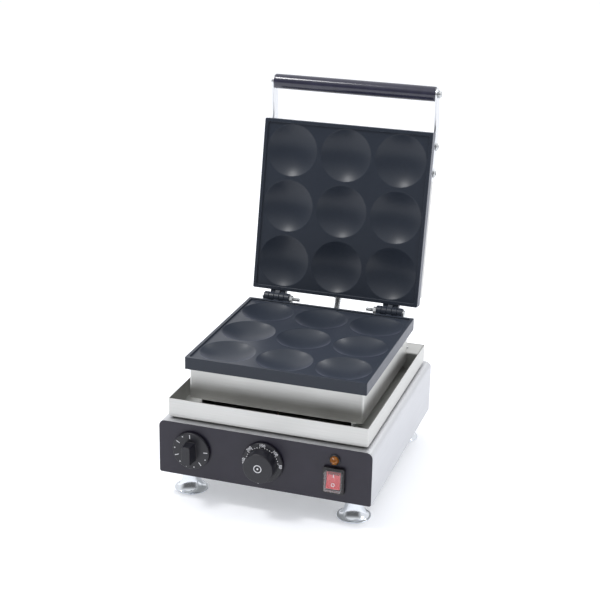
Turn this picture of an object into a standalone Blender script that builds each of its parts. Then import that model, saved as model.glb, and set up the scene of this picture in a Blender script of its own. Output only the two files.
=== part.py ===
"""Nine-hollow countertop pancake maker with a hinged lid, standing open.

Metres, +Z up, front towards -Y. The origin is the middle of the footprint of
the open machine, on the surface that its feet stand on. The base is modelled
where it stands. The lid is modelled shut, around the hinge axis, and its
empty then swings it open against the stop heels.
"""

import math

import bmesh
import bpy
from mathutils import Matrix, Vector

# Counts of facets
ROUND_STEPS = 24
SMALL_ROUND_STEPS = 16
BOLT_STEPS = 12
NUT_SIDES = 6
CORNER_STEPS = 3
SLOT_END_STEPS = 2
DISH_STEPS = 24
DISH_ARC_STEPS = 4
HOSE_RESOLUTION = 2
ELEMENT_RESOLUTION = 1
SMOOTH_ANGLE = math.radians(30)

# Fits
SEAT_GAP = 0.0003
PIN_CLEARANCE = 0.0003
HOLE_CLEARANCE = 0.0005
OVERRUN = 0.002
MERGE_DISTANCE = 0.000003

# Sheet-metal body
SHEET = 0.0012
BODY_SIDE_LEDGE = 0.010
BODY_BACK_LEDGE = 0.0073
BODY_HEIGHT = 0.080
BODY_CORNER_RADIUS = 0.009
BODY_FLANGE_WIDTH = 0.012
PANEL_THICKNESS = 0.0025
PANEL_FOOT_RADIUS = 0.003
VENT_WIDTH = 0.004
VENT_LENGTH = 0.036
VENT_PITCH = 0.012
VENTS = 8
VENT_CORNER_SHARE = 0.98

# Feet
FOOT_HEIGHT = 0.038
FOOT_SIDE_INSET = 0.0333
FOOT_FRONT_INSET = 0.03675
FOOT_REAR_INSET = 0.03235
FOOT_RIM_RADIUS = 0.0242
FOOT_RIM_HEIGHT = 0.002
FOOT_FLARE_RADIUS = 0.0205
FOOT_NECK_RADIUS = 0.0115
FOOT_FLARE_HEIGHT = 0.022
FOOT_FLARE_STEPS = 3
FOOT_COLLAR_RADIUS = 0.0135
FOOT_COLLAR_HEIGHT = 0.006
FOOT_STUD_RADIUS = 0.004
FOOT_STUD_LENGTH = 0.009

# Tray, its gasket and the wiring duct at its back
GASKET_THICKNESS = 0.0024
GASKET_INSET = 0.004
GASKET_WIDTH = 0.008
TRAY_SIDE_CLEARANCE = 0.01235
TRAY_BACK_CLEARANCE = 0.0278
TRAY_LEDGE = 0.0102
TRAY_HEIGHT = 0.027
TRAY_CORNER_RADIUS = 0.002
DUCT_DEPTH = 0.0414
DUCT_WINDOW_WIDTH = 0.050
DUCT_WINDOW_DEPTH = 0.016
DUCT_SCREW_SIDE_INSET = 0.025
DUCT_SCREW_SETBACK = 0.020

# Heater box on its rails
RAIL_HEIGHT = 0.0138
RAIL_WIDTH = 0.012
RAIL_INSET = 0.016
RAIL_END_INSET = 0.004
BOX_DUCT_GAP = 0.0027
BOX_HEIGHT = 0.045
BOX_CORNER_RADIUS = 0.003
BOX_PLATE_OVERLAP = 0.0055

# Cooking plates
PLATE_SIDE = 0.2653
PLATE_SETBACK = 0.030
PLATE_THICKNESS = 0.018
PLATE_CORNER_RADIUS = 0.002
RIM_WIDTH = 0.005
RIM_HEIGHT = 0.0025
RIM_POCKET_RADIUS = 0.003
DISH_ROWS = 3
DISH_MARGIN = 0.00165
DISH_LAND = 0.006
DISH_DEPTH = 0.012

# Hinges
OPEN_ANGLE = math.radians(101)
PARTING_GAP = 0.0005
HINGE_SETBACK = 0.0118
HINGE_SIDE_INSET = 0.04165
HINGE_WIDTH = 0.041
KNUCKLES = 5
KNUCKLE_GAP = 0.0004
KNUCKLE_RADIUS = 0.008
KNUCKLE_ROOT_DEPTH = 0.014
KNUCKLE_ROOT_OVERLAP = 0.003
KNUCKLE_ARC_STEPS = 10
KNUCKLE_WRAP_DEGREES = 250
HEEL_REACH = 0.0165
HEEL_FOOT_DROP = 0.004
HEEL_TOP_DEGREES = 100
HEEL_FOOT_DEGREES = (-40, -70)
HEEL_FOOT_STEPS = 2
PIN_RADIUS = 0.00285
PIN_HEAD_RADIUS = 0.0055
PIN_HEAD_HEIGHT = 0.0035
PIN_TAIL = 0.0165
PIN_NUT_RADIUS = 0.0058
PIN_NUT_HEIGHT = 0.005

# Lid cover
COVER_HEIGHT = 0.0397
COVER_CORNER_RADIUS = 0.004
COVER_EDGE_RADIUS = 0.003

# Heating elements, their clamps and the insulation
ELEMENT_RADIUS = 0.004
ELEMENT_BEND = 0.016
ELEMENT_BEND_STEPS = 2
ELEMENT_SIDE_INSET = 0.03265
ELEMENT_INNER_X = 0.036
ELEMENT_TERMINAL_X = 0.022
ELEMENT_FRONT_INSET = 0.032
ELEMENT_BACK_INSET = 0.036
ELEMENT_RETURN_INSET = 0.080
ELEMENT_LEAD_HOLE = 0.0062
UPPER_LEAD_LENGTH = 0.020
LOWER_LEAD_BELOW_CASING = 0.008
CLAMP_THICKNESS = 0.002
CLAMP_SIDE_INSET = 0.020
CLAMP_FRONT_INSET = 0.028
CLAMP_BACK_INSET = 0.050
CLAMP_BOSS_RADIUS = 0.006
CLAMP_BOLT_RADIUS = 0.003
CLAMP_BOLT_HEAD_RADIUS = 0.0055
CLAMP_BOLT_HEAD_HEIGHT = 0.004
CLAMP_BOLT_BITE = 0.006
CLAMP_BOLT_X = 0.018
INSULATION_SIDE_INSET = 0.012
UPPER_INSULATION_BACK_INSET = 0.045
INSULATION_BOLT_POCKET_RADIUS = 0.0075

# Handle
ARM_THICKNESS = 0.003
ARM_RADIUS = 0.011
ARM_GRIP_RADIUS = 0.0095
ARM_HEIGHT = 0.038
ARM_REAR_REACH = 0.064
ARM_FRONT_REACH = 0.006
ARM_ARC_STEPS = 6
GRIP_REACH = 0.05675
GRIP_HEIGHT = 0.0207
GRIP_RADIUS = 0.0115
GRIP_END_ROUND = 0.001
ROD_RADIUS = 0.004
ROD_HEAD_RADIUS = 0.007
ROD_HEAD_HEIGHT = 0.0045
ROD_THREAD_LENGTH = 0.003
ARM_BOLT_RADIUS = 0.003
ARM_BOLT_HEAD_RADIUS = 0.006
ARM_BOLT_HEAD_HEIGHT = 0.0035
ARM_BOLT_LENGTH = 0.010
ARM_FRONT_BOLT_INSET = 0.0221
ARM_REAR_BOLT_INSET = 0.063
ARM_BOLT_INSETS = (ARM_FRONT_BOLT_INSET, ARM_REAR_BOLT_INSET)

# Flexible conduit across the hinge
HOSE_RADIUS = 0.0048
HOSE_ROOT_SHARE = 0.87
HOSE_BORE_RADIUS = 0.0034
HOSE_RIB_PITCH = 0.0032
HOSE_TUBE_POINTS = 22
HOSE_SLACK_HANDLE = 0.017
BASE_FERRULE_SETBACK = 0.009
LID_FERRULE_HEIGHT = 0.0275
FERRULE_RADIUS = 0.0072
FERRULE_FLANGE_RADIUS = 0.0085
FERRULE_FLANGE_HEIGHT = 0.003
FERRULE_LENGTH = 0.0105
FERRULE_CHAMFER = 0.001
FERRULE_SPIGOT_RADIUS = 0.0063
FERRULE_SPIGOT_LENGTH = 0.004
HOSE_END_LIFT = 0.0006

# Controls
CONTROL_RISE = 0.0015
KNOB_GAP = 0.0008
SKIRT_FRONT = 0.006
SKIRT_CHAMFER = 0.0012
KNOB_REACH = 0.0245
SHAFT_RADIUS = 0.003
SHAFT_INSERTION = 0.013
SHAFT_TAIL = 0.014
TIMER_SIDE_INSET = 0.0496
TIMER_SKIRT_RADIUS = 0.0275
TIMER_BAR_WIDTH = 0.012
TIMER_BAR_BASE_WIDTH = 0.016
TIMER_BAR_LENGTH = 0.028
TIMER_BAR_CORNER = 0.0022
TIMER_CASE_SIDE = 0.046
TIMER_CASE_DEPTH = 0.028
THERMOSTAT_X = 0.0003
THERMOSTAT_SKIRT_RADIUS = 0.0295
THERMOSTAT_CAP_BASE_RADIUS = 0.0218
THERMOSTAT_CAP_RADIUS = 0.0214
THERMOSTAT_CAP_ROUND = 0.0012
THERMOSTAT_CASE_WIDTH = 0.040
THERMOSTAT_CASE_HEIGHT = 0.034
THERMOSTAT_CASE_DEPTH = 0.026
BULB_RADIUS = 0.003
BULB_LENGTH = 0.070
BULB_CENTRE_INSET = 0.110
CAPILLARY_RADIUS = 0.001
CAPILLARY_BEND = 0.007
CAPILLARY_HOLE = 0.0035
CAPILLARY_RISE_INSET = 0.0135
CAPILLARY_BEND_RISE = 0.010
LAMP_SWITCH_GAP = 0.0108
LAMP_LENS_RADIUS = 0.007
LAMP_LENS_EDGE = 0.0022
LAMP_LENS_REACH = 0.009
LAMP_LENS_STEPS = 3
LAMP_STEM_RADIUS = 0.0055
LAMP_NUT_RADIUS = 0.0085
LAMP_NUT_HEIGHT = 0.004
LAMP_BODY_LENGTH = 0.028
SWITCH_SIDE_INSET = 0.0525
SWITCH_DROP = 0.0078
SWITCH_FRAME_WIDTH = 0.0305
SWITCH_FRAME_HEIGHT = 0.038
SWITCH_FRAME_REACH = 0.0055
SWITCH_FRAME_CORNER = 0.002
SWITCH_BODY_WIDTH = 0.0231
SWITCH_BODY_HEIGHT = 0.0304
SWITCH_BODY_DEPTH = 0.026
SWITCH_POCKET_WIDTH = 0.0205
SWITCH_POCKET_HEIGHT = 0.0280
SWITCH_POCKET_DEPTH = 0.013
ROCKER_WIDTH = 0.0195
ROCKER_HALF_HEIGHT = 0.012
ROCKER_TIP_REACH = 0.0075
ROCKER_VALLEY_REACH = 0.006
ROCKER_KEEL = 0.007
ROCKER_SHOULDER = 0.002
ROCKER_PIVOT_DEPTH = 0.001
ROCKER_TILT = math.radians(10)
BOOT_WIDTH = 0.024
BOOT_HEIGHT = 0.029
BOOT_WALL = 0.0008
BOOT_REACH = 0.012
BOOT_CORNER = 0.0025
BOOT_LIP = 0.0018
BOOT_LIP_HEIGHT = 0.001

# Mains connection
GLAND_SIDE_INSET = 0.065
GLAND_HEIGHT = 0.030
GLAND_RADIUS = 0.0105
GLAND_CAP_RADIUS = 0.0085
GLAND_CAP_LENGTH = 0.009
GLAND_CAP_DRAFT = 0.0012
GLAND_FLANGE = 0.005
GLAND_THREAD_RADIUS = 0.0078
GLAND_THREAD_LENGTH = 0.010
GLAND_BORE_RADIUS = 0.0042
TERMINAL_WIDTH = 0.060
TERMINAL_DEPTH = 0.022
TERMINAL_HEIGHT = 0.018
TERMINAL_GLAND_OFFSET = 0.040
TERMINAL_SETBACK = 0.045
TERMINAL_WAYS = 5
TERMINAL_POCKET_DEPTH = 0.010
TERMINAL_POCKET_WIDTH_SHARE = 0.6
TERMINAL_POCKET_DEPTH_SHARE = 0.55

# Sheet-metal screws on the duct
SCREW_RADIUS = 0.0018
SCREW_HEAD_RADIUS = 0.0038
SCREW_HEAD_HEIGHT = 0.0022
SCREW_LENGTH = 0.007

# A screw head's section: across and up, as shares of its radius and height
HEAD_SHARES = ((1, 0), (1, 0.5), (0.766, 0.875), (0, 1))

# Widths, depths and places that follow the cooking plates and the body
DISHES_SPAN = PLATE_SIDE - 2 * (RIM_WIDTH + DISH_MARGIN)
DISH_DIAMETER = (DISHES_SPAN - (DISH_ROWS - 1) * DISH_LAND) / DISH_ROWS
DISH_PITCH = DISH_DIAMETER + DISH_LAND
TRAY_WIDTH = PLATE_SIDE + 2 * TRAY_SIDE_CLEARANCE
TRAY_DEPTH = PLATE_SETBACK + PLATE_SIDE + TRAY_BACK_CLEARANCE
BODY_WIDTH = TRAY_WIDTH + 2 * BODY_SIDE_LEDGE
BODY_DEPTH = TRAY_LEDGE + TRAY_DEPTH + BODY_BACK_LEDGE
BOX_WIDTH = PLATE_SIDE - 2 * BOX_PLATE_OVERLAP
BOX_DEPTH = TRAY_DEPTH - DUCT_DEPTH - BOX_DUCT_GAP - PLATE_SETBACK - BOX_PLATE_OVERLAP
HINGE_SPREAD = PLATE_SIDE - 2 * HINGE_SIDE_INSET
ELEMENT_OUTER_X = PLATE_SIDE / 2 - ELEMENT_SIDE_INSET
DUCT_SCREW_SPREAD = TRAY_WIDTH - 2 * DUCT_SCREW_SIDE_INSET
FOOT_SPREAD_X = BODY_WIDTH - 2 * FOOT_SIDE_INSET
FOOT_SPREAD_Y = BODY_DEPTH - FOOT_FRONT_INSET - FOOT_REAR_INSET
FOOT_CENTRE_Y = (FOOT_FRONT_INSET - FOOT_REAR_INSET) / 2
TIMER_X = TIMER_SIDE_INSET - BODY_WIDTH / 2
SWITCH_X = BODY_WIDTH / 2 - SWITCH_SIDE_INSET
GLAND_X = BODY_WIDTH / 2 - GLAND_SIDE_INSET
TERMINAL_X = GLAND_X - TERMINAL_GLAND_OFFSET
CONTROL_HEIGHT = BODY_HEIGHT / 2 + CONTROL_RISE
SWITCH_HEIGHT = BODY_HEIGHT / 2 - SWITCH_DROP
LAMP_HEIGHT = SWITCH_HEIGHT + SWITCH_FRAME_HEIGHT / 2 + LAMP_SWITCH_GAP

# Levels, upwards from the floor
BODY_BOTTOM = FOOT_HEIGHT
BODY_TOP = BODY_BOTTOM + BODY_HEIGHT
GASKET_BOTTOM = BODY_TOP + SEAT_GAP
TRAY_BOTTOM = GASKET_BOTTOM + GASKET_THICKNESS + SEAT_GAP
TRAY_FLOOR = TRAY_BOTTOM + SHEET
TRAY_TOP = TRAY_BOTTOM + TRAY_HEIGHT
RAIL_BOTTOM = TRAY_FLOOR + SEAT_GAP
BOX_BOTTOM = RAIL_BOTTOM + RAIL_HEIGHT + SEAT_GAP
BOX_TOP = BOX_BOTTOM + BOX_HEIGHT
PLATE_BOTTOM = BOX_TOP + SEAT_GAP
PLATE_TOP = PLATE_BOTTOM + PLATE_THICKNESS
HINGE_Z = PLATE_TOP + PARTING_GAP / 2
CONTROL_Z = BODY_BOTTOM + CONTROL_HEIGHT
LAMP_Z = BODY_BOTTOM + LAMP_HEIGHT
SWITCH_Z = BODY_BOTTOM + SWITCH_HEIGHT
GLAND_Z = BODY_BOTTOM + GLAND_HEIGHT
ELEMENT_LEVEL_SPAN = 2 * (ELEMENT_RADIUS + SEAT_GAP)

# Places, backwards from the middle of the body
BODY_FRONT = -BODY_DEPTH / 2
BODY_BACK = BODY_DEPTH / 2
PANEL_BACK = BODY_FRONT + PANEL_THICKNESS
TRAY_FRONT = BODY_FRONT + TRAY_LEDGE
TRAY_BACK = TRAY_FRONT + TRAY_DEPTH
DUCT_FRONT = TRAY_BACK - DUCT_DEPTH
TRAY_INNER_RADIUS = TRAY_CORNER_RADIUS - SHEET
DUCT_WALL_GAP = SEAT_GAP + TRAY_INNER_RADIUS * (1 - math.cos(math.radians(45)))
PLATE_FRONT = TRAY_FRONT + PLATE_SETBACK
PLATE_BACK = PLATE_FRONT + PLATE_SIDE
PLATE_MIDDLE = (PLATE_FRONT + PLATE_BACK) / 2
BOX_FRONT = PLATE_FRONT + BOX_PLATE_OVERLAP
BOX_BACK = BOX_FRONT + BOX_DEPTH
HINGE_Y = PLATE_BACK + HINGE_SETBACK
DUCT_MIDDLE = (DUCT_FRONT + TRAY_BACK) / 2
BASE_FERRULE_Y = TRAY_BACK - BASE_FERRULE_SETBACK
DUCT_SCREW_Y = TRAY_BACK - DUCT_SCREW_SETBACK
BACK_LEADS_Y = PLATE_BACK - ELEMENT_BACK_INSET
CAPILLARY_Y = BOX_FRONT + CAPILLARY_RISE_INSET

# The shut lid, from the hinge axis: forwards is negative, upwards from the parting plane
LID_PLATE_BACK = -HINGE_SETBACK
LID_PLATE_FRONT = LID_PLATE_BACK - PLATE_SIDE
LID_PLATE_MIDDLE = (LID_PLATE_BACK + LID_PLATE_FRONT) / 2
LID_PLATE_BOTTOM = PARTING_GAP / 2
LID_PLATE_TOP = LID_PLATE_BOTTOM + PLATE_THICKNESS
COVER_SIDE = PLATE_SIDE - 2 * BOX_PLATE_OVERLAP
COVER_BACK = LID_PLATE_BACK - BOX_PLATE_OVERLAP
COVER_FRONT = COVER_BACK - COVER_SIDE
COVER_BOTTOM = LID_PLATE_TOP + SEAT_GAP
COVER_TOP = COVER_BOTTOM + COVER_HEIGHT
GRIP_Y = LID_PLATE_FRONT - GRIP_REACH
ARM_X = COVER_SIDE / 2 + SEAT_GAP
ARM_OUTSIDE = ARM_X + ARM_THICKNESS

# The middle of the open machine's footprint, from the middle of the body
LEAN = OPEN_ANGLE - math.radians(90)
COVER_CORNER_UP = -COVER_FRONT - COVER_EDGE_RADIUS
COVER_CORNER_OUT = COVER_TOP - COVER_EDGE_RADIUS
REAR_REACH = (
    HINGE_Y
    + COVER_CORNER_UP * math.sin(LEAN)
    + COVER_CORNER_OUT * math.cos(LEAN)
    + COVER_EDGE_RADIUS
)
FRONT_REACH = BODY_FRONT - KNOB_REACH
BODY_SHIFT = -(REAR_REACH + FRONT_REACH) / 2

# Ways of laying a shape that is drawn in a plane and raised along Z
ALONG_X = Matrix(((0, 0, 1, 0), (1, 0, 0, 0), (0, 1, 0, 0), (0, 0, 0, 1)))
ALONG_Y = Matrix(((1, 0, 0, 0), (0, 0, 1, 0), (0, 1, 0, 0), (0, 0, 0, 1)))
FACING_FRONT = (math.pi / 2, 0, 0)
FACING_BACK = (-math.pi / 2, 0, 0)
FACING_RIGHT = (0, math.pi / 2, 0)
FACING_LEFT = (0, -math.pi / 2, 0)
FACING_DOWN = (math.pi, 0, 0)


def weight_normals():
    """Keeps flat faces flat in the shading of pieces whose shape the Booleans changed."""
    for made in bpy.context.scene.objects:
        if made.modifiers and not made.hide_render:
            shading = made.modifiers.new("flat faces", "WEIGHTED_NORMAL")
            shading.keep_sharp = True


def clear_scene():
    for old in list(bpy.data.objects):
        bpy.data.objects.remove(old, do_unlink=True)


def linear(value):
    """One channel of an sRGB colour, 0 to 255, as the linear value that a shader takes."""
    share = value / 255
    return share / 12.92 if share <= 0.04045 else ((share + 0.055) / 1.055) ** 2.4


def finish(name, red, green, blue, roughness, metallic=0.0, alpha=1.0):
    made = bpy.data.materials.new(name)
    made.use_nodes = True
    shader = made.node_tree.nodes["Principled BSDF"]
    colour = (linear(red), linear(green), linear(blue), 1)
    shader.inputs["Base Color"].default_value = colour
    shader.inputs["Roughness"].default_value = roughness
    shader.inputs["Metallic"].default_value = metallic
    shader.inputs["Alpha"].default_value = alpha
    made.diffuse_color = (*colour[:3], alpha)
    return made


def empty(name, location, turn=(0, 0, 0), parent=None):
    made = bpy.data.objects.new(name, None)
    bpy.context.scene.collection.objects.link(made)
    made.location = location
    made.rotation_euler = turn
    made.parent = parent
    return made


def linked(name, data, parent, location=(0, 0, 0), turn=(0, 0, 0)):
    made = bpy.data.objects.new(name, data)
    bpy.context.scene.collection.objects.link(made)
    made.parent = parent
    made.location = location
    made.rotation_euler = turn
    return made


def piece(name, shape, look, parent, location=(0, 0, 0), turn=(0, 0, 0)):
    """An object made from a bmesh, which is freed."""
    bmesh.ops.recalc_face_normals(shape, faces=shape.faces)
    mesh = bpy.data.meshes.new(name)
    shape.to_mesh(mesh)
    shape.free()
    mesh.shade_smooth()
    mesh.set_sharp_from_angle(angle=SMOOTH_ANGLE)
    if look:
        mesh.materials.append(look)
    return linked(name, mesh, parent, location, turn)


def helper(name, shape, parent, location=(0, 0, 0), turn=(0, 0, 0)):
    """A shape that only cuts or extends another one."""
    made = piece(name, shape, None, parent, location, turn)
    made.hide_render = True
    made.display_type = "WIRE"
    return made


def combine(target, tool, operation):
    change = target.modifiers.new(tool.name, "BOOLEAN")
    change.object = tool
    change.operation = operation
    change.solver = "EXACT"


def cut(target, tool):
    combine(target, tool, "DIFFERENCE")


def add(target, tool):
    combine(target, tool, "UNION")


def arc(centre, radius, start, end, steps):
    """Points of an arc between two angles, in degrees, both ends included."""
    points = []
    for i in range(steps + 1):
        angle = math.radians(start + (end - start) * i / steps)
        points.append((centre[0] + radius * math.cos(angle), centre[1] + radius * math.sin(angle)))
    return points


def rounded_rectangle(width, height, radius, centre=(0, 0), steps=CORNER_STEPS):
    """Corner points of a rectangle with round corners, counter-clockwise."""
    x, y = width / 2 - radius, height / 2 - radius
    points = []
    for (sx, sy), start in zip(((1, 1), (-1, 1), (-1, -1), (1, -1)), (0, 90, 180, 270)):
        middle = (centre[0] + sx * x, centre[1] + sy * y)
        points += arc(middle, radius, start, start + 90, steps)
    return points


def circle(radius, centre=(0, 0), steps=SMALL_ROUND_STEPS):
    return arc(centre, radius, 0, 360 - 360 / steps, steps - 1)


def flats_radius(radius, steps):
    """The corner radius of a faceted bore whose flats lie at the given radius."""
    return radius / math.cos(math.pi / steps)


def prism(points, low, high, lay=None):
    """A plane outline raised from low to high, along Z or as lay turns it."""
    shape = bmesh.new()
    corners = [shape.verts.new((a, b, low)) for a, b in points]
    face = shape.faces.new(corners)
    raised = bmesh.ops.extrude_face_region(shape, geom=[face])
    tops = [item for item in raised["geom"] if isinstance(item, bmesh.types.BMVert)]
    bmesh.ops.translate(shape, vec=(0, 0, high - low), verts=tops)
    if lay:
        shape.transform(lay)
    return shape


def lofted(low_points, high_points, low, high):
    """A solid between two outlines with as many points, at two heights."""
    shape = bmesh.new()
    below = [shape.verts.new((a, b, low)) for a, b in low_points]
    above = [shape.verts.new((a, b, high)) for a, b in high_points]
    shape.faces.new(below)
    shape.faces.new(above)
    for i in range(len(below)):
        shape.faces.new((below[i - 1], below[i], above[i], above[i - 1]))
    return shape


def box(low, high):
    """A box between two opposite corners."""
    shape = bmesh.new()
    bmesh.ops.create_cube(shape, size=1)
    span = [b - a for a, b in zip(low, high)]
    middle = [(a + b) / 2 for a, b in zip(low, high)]
    shape.transform(Matrix.Translation(middle) @ Matrix.Diagonal((*span, 1)))
    return shape


def turned(profile, steps=ROUND_STEPS, ring=False):
    """A profile of (radius, height) points spun about Z. A ring's profile closes on itself."""
    shape = bmesh.new()
    points = [shape.verts.new((radius, 0, height)) for radius, height in profile]
    edges = [shape.edges.new(pair) for pair in zip(points, points[1:])]
    if ring:
        edges.append(shape.edges.new((points[-1], points[0])))
    bmesh.ops.spin(
        shape,
        geom=points + edges,
        cent=(0, 0, 0),
        axis=(0, 0, 1),
        angle=math.tau,
        steps=steps,
        use_merge=True,
    )
    bmesh.ops.remove_doubles(shape, verts=shape.verts, dist=MERGE_DISTANCE)
    return shape


def gather(shapes):
    """One bmesh that holds several, which are freed."""
    whole = bmesh.new()
    for shape in shapes:
        scrap = bpy.data.meshes.new("scrap")
        shape.to_mesh(scrap)
        shape.free()
        whole.from_mesh(scrap)
        bpy.data.meshes.remove(scrap)
    return whole


def moved(shape, x=0, y=0, z=0):
    shape.transform(Matrix.Translation((x, y, z)))
    return shape


def rod(radius, low, high, x=0, y=0, steps=SMALL_ROUND_STEPS):
    """A plain upright cylinder."""
    return moved(prism(circle(radius, steps=steps), low, high), x, y)


def bolt_hole(radius, low, high, x=0, y=0):
    """A cutter for a screw or bolt of the given radius, with as many sides as its shank."""
    wide = flats_radius(radius + SEAT_GAP, BOLT_STEPS)
    return rod(wide, low, high, x, y, BOLT_STEPS)


def tray_shape(outline, inner_outline, low, floor, high):
    """The two solids of an open tray: its outside and the hollow to cut from it."""
    return prism(outline, low, high), prism(inner_outline, floor, high + OVERRUN)


def smooth_route(points, radius, steps):
    """A route of straight runs with an arc of the given radius at each inner corner."""
    route = [Vector(points[0])]
    for before, corner, after in zip(points, points[1:], points[2:]):
        corner = Vector(corner)
        to_before = (Vector(before) - corner).normalized()
        to_after = (Vector(after) - corner).normalized()
        half = to_before.angle(to_after) / 2
        centre = corner + (to_before + to_after).normalized() * radius / math.sin(half)
        first = (corner + to_before * radius / math.tan(half) - centre).normalized()
        last = (corner + to_after * radius / math.tan(half) - centre).normalized()
        for i in range(steps + 1):
            route.append(centre + first.slerp(last, i / steps) * radius)
    return route + [Vector(points[-1])]


def tube(name, route, radius, resolution, look, parent, shares=None):
    """A round tube along a route, as a curve with filled ends. Shares vary its radius."""
    data = bpy.data.curves.new(name, "CURVE")
    data.dimensions = "3D"
    data.bevel_depth = radius
    data.bevel_resolution = resolution
    data.use_fill_caps = True
    spline = data.splines.new("POLY")
    spline.points.add(len(route) - 1)
    for i, place in enumerate(route):
        spline.points[i].co = (*place, 1)
        spline.points[i].radius = shares[i] if shares else 1
    if look:
        data.materials.append(look)
    return linked(name, data, parent)


def as_mesh(curve_piece, look=None):
    """The same object with its curve made a mesh, so that a Boolean can use it."""
    name, parent = curve_piece.name, curve_piece.parent
    bpy.context.view_layer.update()
    graph = bpy.context.evaluated_depsgraph_get()
    mesh = bpy.data.meshes.new_from_object(curve_piece.evaluated_get(graph))
    bpy.data.objects.remove(curve_piece, do_unlink=True)
    if look and not mesh.materials:
        mesh.materials.append(look)
    return linked(name, mesh, parent)


def body_outline(shrink, foot_radius):
    """The front view of the body, with its top corners round: x and z, counter-clockwise."""
    half, low, high = BODY_WIDTH / 2 - shrink, BODY_BOTTOM + shrink, BODY_TOP - shrink
    radius, foot = BODY_CORNER_RADIUS - shrink, foot_radius
    return (
        arc((half - radius, high - radius), radius, 0, 90, CORNER_STEPS)
        + arc((radius - half, high - radius), radius, 90, 180, CORNER_STEPS)
        + arc((foot - half, low + foot), foot, 180, 270, CORNER_STEPS)
        + arc((half - foot, low + foot), foot, 270, 360, CORNER_STEPS)
    )


def vent_outlines(centre):
    """Outlines of a row of slots round a centre, long in the second direction."""
    for number in range(VENTS):
        x = centre[0] + (number - (VENTS - 1) / 2) * VENT_PITCH
        corner = VENT_CORNER_SHARE * VENT_WIDTH / 2
        yield rounded_rectangle(VENT_WIDTH, VENT_LENGTH, corner, (x, centre[1]), SLOT_END_STEPS)


def lower_holes(low, high):
    """Cutters for the two element leads and the capillary, through one level of the base."""
    shapes = [rod(CAPILLARY_HOLE, low, high, THERMOSTAT_X, CAPILLARY_Y)]
    for side in (-1, 1):
        shapes.append(rod(ELEMENT_LEAD_HOLE, low, high, side * ELEMENT_TERMINAL_X, BACK_LEADS_Y))
    return shapes


def make_casing(look, base):
    """The folded sheet that makes the top and both sides, with a flange under each side."""
    half, low, high = BODY_WIDTH / 2, BODY_BOTTOM, BODY_TOP
    radius = BODY_CORNER_RADIUS
    outer = (
        [(half - BODY_FLANGE_WIDTH, low), (half, low)]
        + arc((half - radius, high - radius), radius, 0, 90, CORNER_STEPS)
        + arc((radius - half, high - radius), radius, 90, 180, CORNER_STEPS)
        + [(-half, low), (BODY_FLANGE_WIDTH - half, low)]
    )
    inner = (
        [(BODY_FLANGE_WIDTH - half, low + SHEET), (SHEET - half, low + SHEET)]
        + arc((radius - half, high - radius), radius - SHEET, 180, 90, CORNER_STEPS)
        + arc((half - radius, high - radius), radius - SHEET, 90, 0, CORNER_STEPS)
        + [(half - SHEET, low + SHEET), (half - BODY_FLANGE_WIDTH, low + SHEET)]
    )
    shape = prism(outer + inner, PANEL_BACK + SEAT_GAP, BODY_BACK, ALONG_Y)
    casing = piece("body_casing", shape, look, base)
    low, high = BODY_TOP - SHEET - OVERRUN, BODY_TOP + OVERRUN
    window = prism(
        rounded_rectangle(DUCT_WINDOW_WIDTH, DUCT_WINDOW_DEPTH, SHEET, (0, DUCT_MIDDLE)), low, high
    )
    cut(casing, helper("casing_openings", gather([window] + lower_holes(low, high)), base))


def make_control_panel(look, base):
    shape = prism(body_outline(0, PANEL_FOOT_RADIUS), BODY_FRONT, PANEL_BACK, ALONG_Y)
    panel = piece("control_panel", shape, look, base)
    low, high = BODY_FRONT - OVERRUN, PANEL_BACK + OVERRUN
    shaft_hole = flats_radius(SHAFT_RADIUS + 2 * HOLE_CLEARANCE, SMALL_ROUND_STEPS)
    lamp_hole = flats_radius(LAMP_STEM_RADIUS + HOLE_CLEARANCE, SMALL_ROUND_STEPS)
    holes = [
        circle(shaft_hole, (TIMER_X, CONTROL_Z)),
        circle(shaft_hole, (THERMOSTAT_X, CONTROL_Z)),
        circle(lamp_hole, (SWITCH_X, LAMP_Z)),
        rounded_rectangle(
            SWITCH_BODY_WIDTH + 2 * SEAT_GAP,
            SWITCH_BODY_HEIGHT + 2 * SEAT_GAP,
            SEAT_GAP,
            (SWITCH_X, SWITCH_Z),
            1,
        ),
    ]
    shapes = [prism(outline, low, high, ALONG_Y) for outline in holes]
    cut(panel, helper("panel_openings", gather(shapes), base))


def make_rear_panel(look, base):
    """The plate that closes the back, with a row of vents and the hole for the cord gland."""
    inset = SHEET + SEAT_GAP
    outline = body_outline(inset, SHEET)
    back = BODY_BACK - SHEET
    panel = piece("rear_panel", prism(outline, back - SHEET, back, ALONG_Y), look, base)
    low, high = back - SHEET - OVERRUN, back + OVERRUN
    vents = vent_outlines((-GLAND_X / 2, (BODY_BOTTOM + BODY_TOP) / 2))
    shapes = [prism(outline, low, high, ALONG_Y) for outline in vents]
    gland = flats_radius(GLAND_THREAD_RADIUS + SEAT_GAP, SMALL_ROUND_STEPS)
    shapes.append(prism(circle(gland, (GLAND_X, GLAND_Z)), low, high, ALONG_Y))
    cut(panel, helper("rear_openings", gather(shapes), base))


def foot_places():
    """Name and place of each foot."""
    for row, sy in (("front", -1), ("rear", 1)):
        for side, sx in (("left", -1), ("right", 1)):
            yield f"{row}_{side}", sx * FOOT_SPREAD_X / 2, FOOT_CENTRE_Y + sy * FOOT_SPREAD_Y / 2


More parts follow.
